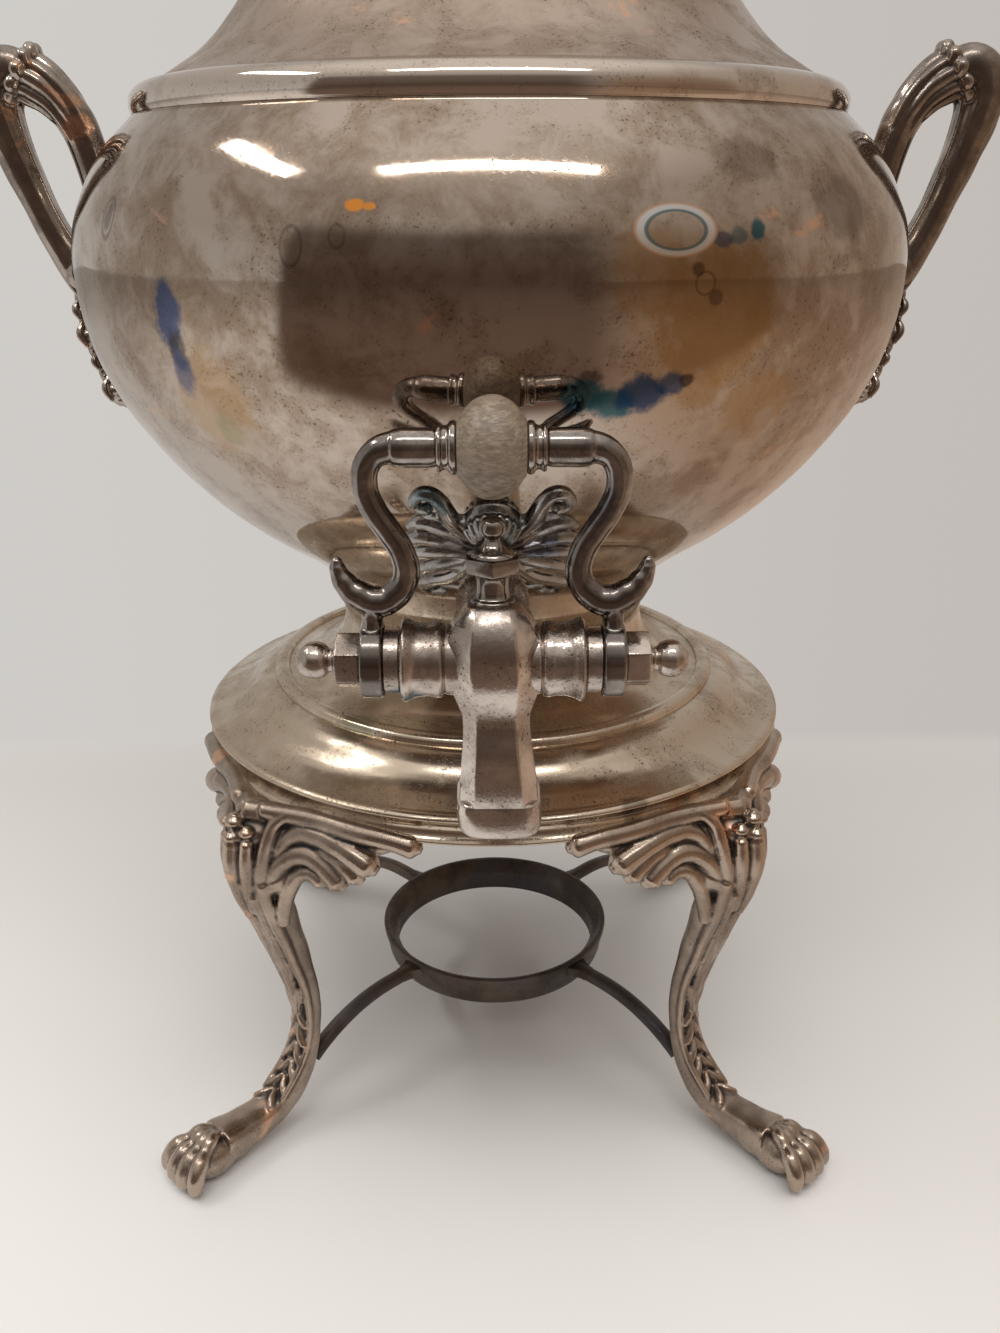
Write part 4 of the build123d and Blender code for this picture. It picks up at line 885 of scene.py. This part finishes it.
class SAMOVAR_OT_legs(bpy.types.Operator):
    """Casts one carved cabriole leg with its paw and sets it four times"""
    bl_idname = "samovar.legs"
    bl_label = "Legs"

    def execute(self, context):
        line = [(x, 0, z, half) for (x, z), half in zip(LEG_LINE, LEG_HALF)]
        shank = bar(line, 1.0, LEG_DEPTH, square=1.35)
        carving = rods(leg_strokes() + paw_strokes())
        pad = ball(127.4, 0, 6.6, 8.2, (1.12, 0.98, 0.86))
        heel = ball(120.0, 0, 6.2, 7.0, (1.3, 0.95, 0.8))
        leg = cast("leg_master", [shank, carving, pad, heel], voxel=context_sizes().leg_grain / MM, reach=34)
        pick(leg)
        sole = {"plane_co": (0, 0, 0.01 * MM), "plane_no": (0, 0, -1)}
        edit(bpy.ops.mesh.bisect, **sole, clear_outer=True, use_fill=True, threshold=0.01 * WELD)
        for index, name in enumerate(("rear_right", "rear_left", "front_left", "front_right")):
            copy = turned_copy(leg, "carved_leg_" + name, 45 + 90 * index)
            dress(copy, "cast", "worn_plate", "urn", "leg_" + name)
            dress_node("ring_arm_" + name, "iron")
        bpy.data.objects.remove(leg)
        ring_profile = [
            (36.2, 23.9), (36.5, 23.3), (38.2, 23.3), (38.9, 23.9), (40.2, 29.0), (41.3, 33.8), (41.2, 34.5),
            (39.3, 34.5), (38.9, 34.0), (36.3, 30.2), (36.2, 29.4), (36.2, 23.9),
        ]
        how = {"corners": (0, 11), "steps": 160, "fine": 5}
        spun("iron_ring", ring_profile, "iron", "black_iron", "urn", "burner_ring", **how)
        return {"FINISHED"}


# Centre lines of a handle's two limbs on the right, reach, height and swell, and their half width and depth
LIMB_WIDTH, LIMB_DEPTH = 4.7, 5.3
UPPER_LIMB = [
    (113.5, 276.0, 0.92), (115.6, 287.0, 0.94), (118.0, 299.0, 1.0), (121.5, 308.0, 1.06), (126.5, 313.6, 1.1),
    (132.0, 317.4, 1.2), (136.0, 319.6, 1.24),
]
LOWER_LIMB = [
    (134.0, 318.6, 1.16), (139.6, 320.0, 1.22), (143.1, 315.6, 1.26), (142.4, 307.6, 1.14), (138.9, 296.0, 0.98),
    (134.5, 284.0, 0.84), (130.2, 274.0, 0.86), (125.4, 265.4, 0.96), (120.4, 257.0, 0.9),
]


def limb(line, along, around, lift):
    """A point on a handle's limb: stations along it, degrees round it from the outside, and lift."""
    swell = np.interp(along, np.arange(len(line)), [size for _, _, size in line])
    x, z = off_line(line, along, (LIMB_DEPTH * swell + lift) * cos(radians(around)))
    return x, float((LIMB_WIDTH * swell + lift) * sin(radians(around))), z


def handle_strokes():
    """Leaves on a handle's upper limb, the curls at its end, and the ridges of its lower limb."""
    lines = []
    leaves = ((-150, 2.9, 1.5), (-118, 2.3, 1.9), (-84, 2.7, 2.1), (-52, 2.0, 2.0), (-20, 2.6, 2.1))
    for flip in (1, -1):
        for around, reach, width in leaves:
            lines.append([
                (*limb(UPPER_LIMB, 5.5, flip * around, -0.1), width),
                (*limb(UPPER_LIMB, 4.7, flip * (around + 5), -0.2), 1.05 * width),
                (*limb(UPPER_LIMB, 0.5 * (4.7 + reach), flip * (around + 2), -0.6), 0.8 * width),
                (*limb(UPPER_LIMB, reach, flip * (around - 5), -1.0), 0.5 * width),
            ])
            lines.append([
                (*limb(UPPER_LIMB, 5.25, flip * (around - 6), 0.9), 1.5),
                (*limb(UPPER_LIMB, 5.6, flip * (around + 4), 1.5), 2.1),
                (*limb(UPPER_LIMB, 5.55, flip * (around + 16), 1.3), 1.7),
            ])
        for around, width in ((150, 1.2), (116, 0.9)):
            lines.append([
                (*limb(LOWER_LIMB, along, flip * around, -0.3), width * size)
                for along, size in ((0.9, 1.0), (2.0, 1.0), (3.2, 0.9), (4.4, 0.8), (5.6, 0.75), (6.8, 0.7))
            ])
        lines.append([(*limb(UPPER_LIMB, along, flip * -60, -0.4), 0.9) for along in (0.2, 1.0, 1.8, 2.4)])
    return lines


# Beads of a drop under the right handle: reach, height and radius
DROP = [(124.6, 261.4, 3.5), (124.8, 253.6, 3.2), (123.6, 246.4, 4.0), (121.6, 238.2, 2.5), (118.0, 229.8, 3.9)]


def drop_strokes():
    """Husks, beads and the pear that hang under a handle's lower root."""
    lines = []
    for x, z, radius in DROP:
        lines.append([(x, 0, z + 0.8 * radius, 0.55 * radius), (x, 0, z, radius),
                      (x - 0.6, 0, z - 0.9 * radius, 0.6 * radius)])
        lines.append([(x - 5, 0, z, 0.8 * radius), (x, 0, z, 0.7 * radius)])
        for side in (-1, 1):
            lines.append([(x + 0.4 * radius, side * 0.3 * radius, z + 1.1 * radius, 0.7),
                          (x + 0.7 * radius, side * 0.75 * radius, z + 0.2 * radius, 1.3),
                          (x + 0.2 * radius, side * 1.05 * radius, z - 0.7 * radius, 0.8)])
    for (x, z, _), (low_x, low_z, _) in zip(DROP, DROP[1:]):
        middle_x, middle_z = 0.5 * (x + low_x) + 1.6, 0.5 * (z + low_z)
        lines.append([(x, 0, z, 1.6), (middle_x, 0, middle_z, 1.5), (low_x, 0, low_z, 1.6)])
        lines.append([(middle_x - 0.4, -1.6, middle_z, 0.9), (middle_x, 0, middle_z + 0.2, 1.4),
                      (middle_x - 0.4, 1.6, middle_z, 0.9)])
        lines.append([(middle_x - 6.5, 0, middle_z - 0.6, 1.7), (middle_x - 1.2, 0, middle_z, 1.4)])
    lines.append([(116.4, 0, 226.6, 2.2), (114.4, 0, 224.0, 1.0)])
    return lines


class SAMOVAR_OT_handles(bpy.types.Operator):
    """Casts the two loop handles and the beaded drops under them"""
    bl_idname = "samovar.handles"
    bl_label = "Handles and drops"

    def execute(self, context):
        upper = bar([(x, 0, z, swell) for x, z, swell in UPPER_LIMB], LIMB_WIDTH, LIMB_DEPTH)
        lower = bar([(x, 0, z, swell) for x, z, swell in LOWER_LIMB], 4.9, 5.5, square=1.12)
        foot = ball(124.4, 0, 264.4, 5.2, (1.0, 1.1, 1.25))
        handle = cast("handle_master", [upper, lower, foot, rods(handle_strokes())], voxel=0.42, reach=26)
        drop = cast("drop_master", [rods(drop_strokes())], voxel=0.3, reach=20)
        for side, degrees in (("right", 0), ("left", 180)):
            for master, name, node in ((handle, "loop_", "handle_"), (drop, "husks_", "handle_drop_")):
                dress(turned_copy(master, name + side, degrees), "handle", "worn_plate", "urn", node + side)
        bpy.data.objects.remove(handle)
        bpy.data.objects.remove(drop)
        return {"FINISHED"}


# Places of the hood over the leaf plate and of the tap's shank
HOOD_Z, SHANK_Y = 209.0, -110.5


def leaf_strokes():
    """The leaf plate's ground, fans, rib and hood, from points of place across, height and radius."""
    ground = [
        (16, 214, 2.6, 213, 3.2), (19, 208, 2.4, 207, 3.2), (18, 202, 2.4, 201, 3.2), (16, 195.5, 2.4, 195, 3.2),
        (15, 189.5, 2.4, 189, 3.0), (14, 185, 2.2, 184, 2.8),
    ]
    fan = [
        [(3.6, 205.0, 1.2), (7.2, 209.6, 2.1), (10.4, 214.0, 2.5), (12.6, 218.4, 2.2), (15.6, 220.8, 1.9),
         (18.6, 219.2, 1.7), (18.2, 216.4, 1.5), (15.8, 216.4, 1.9)],
        [(3.8, 204.0, 1.2), (8.4, 208.0, 2.2), (13.0, 211.0, 2.7), (17.4, 212.2, 2.4), (20.8, 210.4, 1.5)],
        [(3.8, 203.0, 1.2), (9.4, 205.2, 2.2), (14.4, 207.0, 2.8), (19.4, 206.8, 2.4), (22.4, 204.2, 1.5)],
        [(3.8, 202.0, 1.2), (9.8, 202.0, 2.2), (15.0, 202.2, 2.7), (19.8, 200.8, 2.3), (21.8, 197.6, 1.4)],
        [(3.8, 201.0, 1.2), (9.0, 198.8, 2.1), (14.0, 197.2, 2.6), (18.0, 194.8, 2.2), (19.2, 191.4, 1.4)],
        [(3.6, 200.0, 1.2), (7.0, 195.2, 2.0), (11.2, 191.2, 2.5), (16.2, 188.8, 2.3), (19.4, 185.6, 1.9),
         (17.0, 182.8, 1.6), (13.6, 183.8, 1.7)],
    ]
    lines = []
    for wide, high, edge, low, middle in ground:
        points = ((-wide, high, edge), (0, low, middle), (wide, high, edge))
        lines.append([(*on_vessel(x, z, -1.4), r) for x, z, r in points])
    for side in (-1, 1):
        lines += [[(*on_vessel(side * x, z, 0.1), r) for x, z, r in points] for points in fan]
    lines.append([(*on_vessel(0, 199, 1.0), 2.2), (*on_vessel(0, 190, 1.0), 3.0), (*on_vessel(0, 183.4, 0.6), 2.2)])
    for turn in range(-60, 61, 15):
        x, z = 7.0 * sin(radians(turn)), 8.4 * cos(radians(turn))
        rib = ((0.25, 0.2, 4.0, 0.6), (0.7, 0.62, 5.2, 1.0), (1, 1, 3.4, 1.15))
        lines.append([(*on_vessel(wide * x, HOOD_Z + high * z, lift), r) for wide, high, lift, r in rib])
    return lines


def cut_square(across, facet, front):
    """The eight corners of a square with cut corners, its front drawn forward."""
    half, edge = across / 2, facet / 2
    return [(half, -edge - 0.6 * front), (half, edge), (edge, half), (-edge, half), (-half, edge),
            (-half, -edge - 0.6 * front), (-edge, -half - front), (edge, -half - front)]


# Corners of a soft square, and where the spout starts to lean: over the tap's axis, and down how far
ROUND_CORNERS = 40
LEAN_TOP, LEAN_RUN = 12, 54


def soft_square(across, power):
    """Points of a square with round corners."""
    corners = []
    for step in range(ROUND_CORNERS):
        turn = (step + 0.5) * pi / (ROUND_CORNERS / 2)
        x, y = cos(turn), sin(turn)
        size = across / 2 / (abs(x) ** power + abs(y) ** power) ** (1 / power)
        corners.append((size * x, size * y))
    return corners


def column(name, levels, bevel, angle):
    """A column drawn out level by level, each a height and its corners, leaning a little to the right."""
    deselect()
    count = len(levels[0][1])
    bpy.ops.mesh.primitive_circle_add(vertices=count, radius=MM, fill_type="NGON", location=(0, 0, 0))
    piece = bpy.context.object
    centre = Vector((0, 0))
    for number, (height, corners) in enumerate(levels):
        if number:
            bpy.ops.object.mode_set(mode="EDIT")
            bpy.ops.mesh.extrude_region_move()
            bpy.ops.object.mode_set(mode="OBJECT")
        chosen = [vertex for vertex in piece.data.vertices if vertex.select]
        chosen.sort(key=lambda vertex: atan2(vertex.co.y - centre.y, vertex.co.x - centre.x))
        lean = context_sizes().spout_lean / MM * (TAP_Z + LEAN_TOP - height) / LEAN_RUN
        ordered = sorted(corners, key=lambda corner: atan2(corner[1], corner[0]))
        for vertex, (x, y) in zip(chosen, ordered):
            vertex.co = Vector((x + lean, TAP_Y + y, height)) * MM
        centre = Vector((lean, TAP_Y)) * MM
    edit(bpy.ops.mesh.normals_make_consistent, inside=False)
    apply_modifier("BEVEL", width=bevel * MM, segments=3, limit_method="ANGLE", angle_limit=radians(angle))
    bpy.ops.object.shade_smooth_by_angle(angle=radians(angle - 4))
    return named(piece, name)


class SAMOVAR_OT_tap(bpy.types.Operator):
    """Makes the tap: block and spout, barrel, shank, ferrule, cap, and the leaf plate behind it"""
    bl_idname = "samovar.tap"
    bl_label = "Tap and leaf plate"

    def execute(self, context):
        plate = [rods(leaf_strokes()), ball(*on_vessel(0, 213.4, -0.6), 7.2, (1.0, 0.8, 0.95))]
        dress(cast("leaf_fan", plate, voxel=0.32, reach=22), "leaf", "worn_plate", "urn", "tap_escutcheon")

        levels = [
            (14.2, 10.4, 6.0, 0), (13.4, 12.6, 7.2, 0), (9.8, 17.6, 9.2, 0), (5.4, 21.4, 10.2, 0), (0.5, 22.6, 10.4, 0),
            (-4.5, 21.2, 10.0, 0), (-8.8, 17.8, 9.3, -0.1), (-12.0, 15.7, 8.8, -0.2), (-14.6, 15.4, 8.9, 0.3),
            (-17.0, 15.6, 9.2, 1.0), (-20.0, 16.0, 9.5, 1.7), (-24.5, 16.9, 10.2, 2.0), (-29.5, 17.9, 11.0, 1.4),
            (-33.6, 18.6, 11.4, 0.5),
        ]
        corners = [(TAP_Z + z, cut_square(wide, facet, front)) for z, wide, facet, front in levels]
        block = column("spout_block", corners, 0.5, 40)
        barrel_profile = [
            (0, 8.0), (10.6, 8.0), (11.0, 7.7), (11.6, 8.5), (15.0, 8.4), (17.6, 8.7), (19.4, 9.5), (20.1, 9.7),
            (20.7, 9.2), (20.7, 6.0),
        ]
        right = turned("barrel_right", barrel_profile, corners=(0, 2, 8, 9), steps=96, along_x=TAP_Z)
        left = mirrored_copy(right, "barrel_left")
        shank = prism(8, 9.4, 40, (0, SHANK_Y, TAP_Z), [(pi / 2, 0, 0)])
        body = joined("tap_casting", [block, right, left, shank])
        dress(body, "tap", "tap_metal", "urn", "tap_body")

        band = [
            (-32.8, 18.4, 5), (-33.4, 19.6, 5), (-35.5, 20.1, 4.6), (-39.0, 20.0, 4.2), (-41.2, 19.2, 3.8),
            (-42.0, 17.6, 3.4),
        ]
        ferrule = column("outlet_band", [(TAP_Z + z, soft_square(wide, power)) for z, wide, power in band], 0.3, 30)
        dress(ferrule, "tap", "tap_metal", "urn", "spout_ferrule")

        neck_profile = [
            (0, 13.4), (4.9, 13.4), (5.0, 14.4), (3.9, 15.4), (3.5, 17.4), (3.9, 20.0), (4.9, 21.2), (0, 21.4),
        ]
        neck = turned("cap_neck", shifted(neck_profile, up=TAP_Z), corners=(0, 1, 6, 7), steps=64)
        moved(neck, (0, TAP_Y, 0))
        bell_profile = [
            (0, 24.4), (5.0, 24.4), (4.4, 25.4), (3.0, 26.4), (2.0, 27.6), (1.7, 28.6), (2.5, 29.2), (3.0, 31.0),
            (2.3, 32.8), (0, 33.7),
        ]
        bell = turned("cap_bell", shifted(bell_profile, up=TAP_Z), corners=(0, 1), steps=64)
        moved(bell, (0, TAP_Y, 0))
        flange = prism(6, 6.7, 3.6, (0, TAP_Y, TAP_Z + 22.9), edge=0.35)
        dress(joined("bonnet_cap", [neck, bell, flange]), "fitting", "dark_silver", "urn", "tap_cap")
        for name in ("tap_socket", "tap_lock_nut", "tap_plug"):
            dress_node(name, "tap")
        dress_node("tap_washer", "fibre")
        return {"FINISHED"}


# Places on the tap's cross axis, millimetres out from the middle
COLLAR_X, EYE_X, NUT_X, BALL_X = 20.95, 24.75, 29.85, 40.55
EYE_MID = 27.3


class SAMOVAR_OT_lever(bpy.types.Operator):
    """Makes the yoke lever: arms, collars, end nuts, ferrules and the bone grip"""
    bl_idname = "samovar.lever"
    bl_label = "Lever"

    def execute(self, context):
        self.arms()
        self.collars_and_nuts()
        self.ferrules_and_grip()
        return {"FINISHED"}

    def arms(self):
        """The arms: an S of wire that ends in a hook, held by two prongs over the eye, and the stub of the bar."""
        wire = [
            (7.2, 23.6, 1.3), (7.0, 21.8, 1.9), (5.6, 18.6, 2.7), (2.6, 15.6, 3.4), (-1.6, 14.0, 3.7),
            (-5.4, 15.6, 3.4), (-8.1, 19.8, 3.0), (-7.4, 25.4, 2.9), (-4.7, 30.1, 2.9), (-1.5, 35.2, 2.9),
            (0.2, 40.6, 2.9), (-1.0, 45.9, 3.0), (-4.8, 48.4, 3.4), (-8.0, 48.5, 4.0),
        ]
        lines = [[(EYE_MID + x, TAP_Y, TAP_Z + z, r) for x, z, r in wire]]
        for depth in (-1.5, 1.5):
            lines.append([(EYE_MID, TAP_Y + depth, TAP_Z + 5.5, 2.5),
                          (EYE_MID - 0.2, TAP_Y + 0.5 * depth, TAP_Z + 9.5, 2.3),
                          (EYE_MID - 0.6, TAP_Y, TAP_Z + 13.2, 3.4)])
        lines.append([(EYE_MID - 1.2, TAP_Y, TAP_Z + z, 3.4) for z in (12.8, 13.8)])
        eye_profile = shifted([(0, 0), (0, 8.3), (0.5, 8.7), (4.6, 8.7), (5.1, 8.3), (5.1, 0)], EYE_X)
        eye = turned("eye", eye_profile, corners=range(6), steps=96, along_x=TAP_Z)
        bar_profile = [(11.7, 0), (11.7, 3.9), (12.2, 4.1), (16.5, 4.25), (20.4, 4.1), (21.6, 3.6), (21.6, 0)]
        stub = turned("stub", bar_profile, corners=(0, 1, 6), steps=96, along_x=BAR_Z)
        arm = cast("arm_right", [rods(lines, sides=10, runs=12), eye, stub], voxel=0.3, rounds=4, reach=20)
        dress_pair(arm, "arm", "lever", "dark_silver", "lever_arm")

    def collars_and_nuts(self):
        """The collars inside the arms' eyes and the ball-ended nuts outside them."""
        collar_profile = shifted(
            [(0, 3.2), (0, 7.3), (0.35, 7.65), (3.45, 7.65), (3.8, 7.3), (3.8, 3.2)], COLLAR_X)
        collar = turned("collar_right", collar_profile, corners=range(6), steps=96, along_x=TAP_Z)
        dress_pair(collar, "collar", "tap", "tap_metal", "plug_collar")

        hexagon = prism(6, 6.7, 5.7, (NUT_X + 2.85, TAP_Y, TAP_Z), [(0, pi / 2, 0), (radians(30), 0, 0)])
        ball_profile = shifted([(5.0, 3.4), (6.0, 3.5), (6.7, 2.9)], NUT_X) + shifted(
            [(-3.4, 2.75), (-2.2, 3.75), (0, 4.35), (2.4, 3.62), (3.8, 2.1), (4.35, 0)], BALL_X)
        knob = turned("knob", ball_profile, steps=64, along_x=TAP_Z)
        dress_pair(joined("nut_right", [hexagon, knob]), "nut", "tap", "tap_metal", "end_nut")

    def ferrules_and_grip(self):
        """The grip's two ferrules and the bone between them."""
        ferrule_profile = [
            (7.4, 2.4), (7.4, 5.3), (7.9, 5.7), (8.9, 5.6), (9.5, 4.9), (10.4, 4.75), (11.2, 5.2), (11.7, 5.0),
            (11.7, 2.4),
        ]
        ferrule = turned("cuff_right", ferrule_profile, corners=(0, 1, 7, 8), steps=96, along_x=BAR_Z)
        dress_pair(ferrule, "cuff", "fitting", "dark_silver", "grip_ferrule")

        half = [(7.4, 2.4), (7.4, 6.0), (6.9, 6.6), (5.0, 9.0), (2.6, 10.6)]
        grip_profile = [(-place, radius) for place, radius in half] + [(0, 11.1)] + half[::-1]
        how = {"corners": (0, 1, 9, 10), "steps": 96, "along_x": BAR_Z}
        spun("bone_grip", grip_profile, "bone", "bone", "lever", "lever_grip", **how)
        dress_node("grip_rod", "tap")


# Stage

# Where the board's far part starts to glow as the wall behind the samovar, in metres, the wall's glowing tones with
# painted shade from left to right, and the room's zones
JOIN_Y = 0.226
WALL_PAINTED_LIGHT_LEFT = (0.625, 0.605, 0.58)
WALL_PAINTED_SHADE_RIGHT = (0.545, 0.51, 0.48)
BROWN_ZONE = (0.26, 0.175, 0.115)
DARK_ZONE = (0.118, 0.078, 0.058)

# The camera: its place in metres, its turns in radians, its focal length and frame height in pixels of the photo
CAMERA_PLACE = (0, -0.385, 0.28875)
CAMERA_PITCH, CAMERA_PAN, CAMERA_ROLL = radians(21.794), 0.0061764, -0.00331137
FOCAL_PIXELS, FRAME_PIXELS = 1200.45, 1333
SENSOR = 36.0


class SAMOVAR_OT_stage(bpy.types.Operator):
    """Adds the table, the lamps, the room's tone and the camera"""
    bl_idname = "samovar.stage"
    bl_label = "Stage"

    def execute(self, context):
        self.table()
        self.room()
        self.lamps()
        self.camera()
        return {"FINISHED"}

    def table(self):
        """The white board, with painted shade towards the wall, the right and the front; past the join its far part
        glows with the wall's tones for the camera, and it shows the room's zones in reflections.
        """
        deselect()
        bpy.ops.mesh.primitive_plane_add(size=context_sizes().table_size, location=(0, 0, 0))
        table = bpy.context.object
        table.name = "table"
        made = Shade("White board")
        split = made.node("ShaderNodeSeparateXYZ", {0: made.place})
        across, away = split.outputs["X"], split.outputs["Y"]
        right = made.band(across, -0.1, 0.5)
        board = tuple(bpy.context.scene.samovar_colours.table)
        tone = made.mix(made.noise(6, 3, 0.5), board, tuple(1.03 * part for part in board))
        # Painted shade: the board darkens towards the wall behind, on the right and at the front
        tone = made.mix(made.band(away, -0.16, JOIN_Y), tone, tuple(0.70 * part for part in board))
        tone = made.mix(made.times(right, 0.42), tone, (0.36, 0.345, 0.33))
        tone = made.mix(made.band(away, -0.10, -0.26, 0.0, 0.6), tone, tuple(0.86 * part for part in board))
        light = made.node("ShaderNodeLightPath")
        glossy = light.outputs["Is Glossy Ray"]
        warm = made.times(made.band(across, 0.04, 0.26), glossy)
        tone = made.mix(warm, tone, (0.42, 0.325, 0.255))
        dark, brown = room_zones(made, across, away)
        front = made.times(made.band(away, -0.25, -0.35), glossy)
        tone = made.mix(made.times(brown, front), tone, BROWN_ZONE)
        tone = made.mix(made.times(dark, front), tone, DARK_ZONE)
        made.finish(tone, 0.75, 0.0)
        # Painted wall: past the join the board glows for the camera, lighter on the left and with painted shade to the
        # right
        slant = made.sum("DIVIDE", across, made.plus(away, -CAMERA_PLACE[1]))
        painted_wall_glow = made.node("ShaderNodeEmission", {0: made.mix(made.band(slant, -0.45, 0.45), WALL_PAINTED_LIGHT_LEFT, WALL_PAINTED_SHADE_RIGHT)})
        wall = made.times(made.band(away, JOIN_Y - 0.012, JOIN_Y + 0.012), light.outputs["Is Camera Ray"])
        blend = made.node("ShaderNodeMixShader", {0: wall})
        made.tree.links.new(made.shader.outputs[0], blend.inputs[1])
        made.tree.links.new(painted_wall_glow.outputs[0], blend.inputs[2])
        made.tree.links.new(blend.outputs[0], made.tree.nodes["Material Output"].inputs[0])
        table.data.materials.append(made.material)

    def room(self):
        """The room's tones: light above, dark and brown in front, and the wall where the camera looks."""
        world = bpy.data.worlds.new("Room")
        bpy.context.scene.world = world
        world.use_nodes = True
        world.node_tree.nodes.clear()
        made = RoomShade(world)
        output = made.node("ShaderNodeOutputWorld")
        split = made.node("ShaderNodeSeparateXYZ", {0: made.place})
        across, away, height = split.outputs["X"], split.outputs["Y"], split.outputs["Z"]
        ramp = made.node("ShaderNodeValToRGB", {0: height})
        stops = [(0.0, (0.62, 0.60, 0.57)), (0.20, (0.58, 0.55, 0.52)), (0.42, (0.52, 0.485, 0.45)),
                 (0.70, (0.56, 0.515, 0.475)), (0.92, (0.92, 0.86, 0.80))]
        while len(ramp.color_ramp.elements) < len(stops):
            ramp.color_ramp.elements.new(0.5)
        for element, (place, tone) in zip(ramp.color_ramp.elements, stops):
            element.position = place
            element.color = (*tone, 1)
        right = made.times(made.band(across, 0.25, 0.8), made.band(height, 0.9, 0.0, 0.3, 0.85))
        tone = made.mix(right, ramp.outputs[0], (0.44, 0.325, 0.24))
        dark, brown = room_zones(made, across, away)
        low = made.band(height, 0.64, 0.40)
        tone = made.mix(made.times(brown, made.band(height, 0.7, 0.1)), tone, BROWN_ZONE)
        depth = made.mix(made.band(height, 0.0, 0.50), DARK_ZONE, (0.19, 0.155, 0.135))
        tone = made.mix(made.times(dark, low), tone, depth)
        slant = made.sum("DIVIDE", across, away)
        # The wall seen straight on, lighter on the left and with painted shade to the right
        wall = made.mix(made.band(slant, -0.45, 0.45), WALL_PAINTED_LIGHT_LEFT, WALL_PAINTED_SHADE_RIGHT)
        path = made.node("ShaderNodeLightPath")
        seen = made.mix(path.outputs["Is Camera Ray"], tone, wall)
        background = made.node("ShaderNodeBackground", {0: seen})
        made.feed(output.inputs[0], background.outputs[0])

    def lamps(self):
        """Two tube lamps and a soft light overhead, all aimed at the vessel."""
        aim = Vector((0, 0, 0.22))
        sizes = context_sizes()
        for name, place, size_x, size_y, power, glossy in (
            ("Front tube", (0.0, -0.72, 1.52), 1.15, 0.13, sizes.tube_power, True),
            ("Left tube", (-1.12, -0.08, 1.50), 0.80, 0.13, 0.8 * sizes.tube_power, True),
            ("Soft overhead", (0.15, -0.25, 1.9), 3.0, 3.0, sizes.overhead_power, False),
        ):
            lamp = bpy.data.lights.new(name, "AREA")
            lamp.shape, lamp.size, lamp.size_y = "RECTANGLE", size_x, size_y
            lamp.energy, lamp.color = power, (1.0, 0.98, 0.955)
            holder = bpy.data.objects.new(name, lamp)
            bpy.context.scene.collection.objects.link(holder)
            holder.location = place
            back = (Vector(place) - aim).normalized()
            side = Vector((0, 0, 1)).cross(back).normalized()
            up = back.cross(side)
            holder.matrix_world = Matrix.Translation(place) @ Matrix((side, up, back)).transposed().to_4x4()
            holder.visible_glossy = glossy

    def camera(self):
        """The camera that took the photo, solved from the samovar's round rims."""
        data = bpy.data.cameras.new("Camera")
        data.sensor_fit = "VERTICAL"
        data.sensor_height = data.sensor_width = SENSOR
        data.lens = SENSOR * FOCAL_PIXELS / FRAME_PIXELS
        data.clip_start = 0.01
        camera = bpy.data.objects.new("Camera", data)
        bpy.context.scene.collection.objects.link(camera)
        pitch, pan, roll = CAMERA_PITCH, CAMERA_PAN, CAMERA_ROLL
        ahead = Vector((sin(pan) * cos(pitch), cos(pan) * cos(pitch), -sin(pitch)))
        level = Vector((cos(pan), -sin(pan), 0))
        right = cos(roll) * level + sin(roll) * level.cross(ahead)
        up = right.cross(ahead)
        turn = Matrix((right, up, -ahead)).transposed().to_4x4()
        camera.matrix_world = Matrix.Translation(CAMERA_PLACE) @ turn
        bpy.context.scene.camera = camera


class SAMOVAR_PT_panel(bpy.types.Panel):
    """Lists the samovar's pieces"""
    bl_idname = "SAMOVAR_PT_panel"
    bl_label = "Samovar"
    bl_space_type = "VIEW_3D"
    bl_region_type = "UI"
    bl_category = "Samovar"

    def draw(self, context):
        for operator in OPERATORS:
            self.layout.operator(operator.bl_idname)
        for group in (context.scene.samovar_sizes, context.scene.samovar_colours):
            for key in group.__annotations__:
                self.layout.prop(group, key)


OPERATORS = [
    SAMOVAR_OT_stage, SAMOVAR_OT_vessel, SAMOVAR_OT_lid, SAMOVAR_OT_legs, SAMOVAR_OT_handles, SAMOVAR_OT_tap,
    SAMOVAR_OT_lever,
]


CLASSES = [SAMOVAR_PG_sizes, SAMOVAR_PG_colours, *OPERATORS, SAMOVAR_PT_panel]


def register():
    for item in CLASSES:
        bpy.utils.register_class(item)
    bpy.types.Scene.samovar_sizes = bpy.props.PointerProperty(type=SAMOVAR_PG_sizes)
    bpy.types.Scene.samovar_colours = bpy.props.PointerProperty(type=SAMOVAR_PG_colours)


def unregister():
    del bpy.types.Scene.samovar_colours
    del bpy.types.Scene.samovar_sizes
    for item in reversed(CLASSES):
        bpy.utils.unregister_class(item)


def main():
    register()
    make_finishes()
    bpy.ops.samovar.stage()
    bpy.ops.samovar.vessel()
    bpy.ops.samovar.lid()
    bpy.ops.samovar.legs()
    bpy.ops.samovar.handles()
    bpy.ops.samovar.tap()
    bpy.ops.samovar.lever()
    bpy.context.scene.view_settings.view_transform = "Standard"


if __name__ == "__main__":
    main()
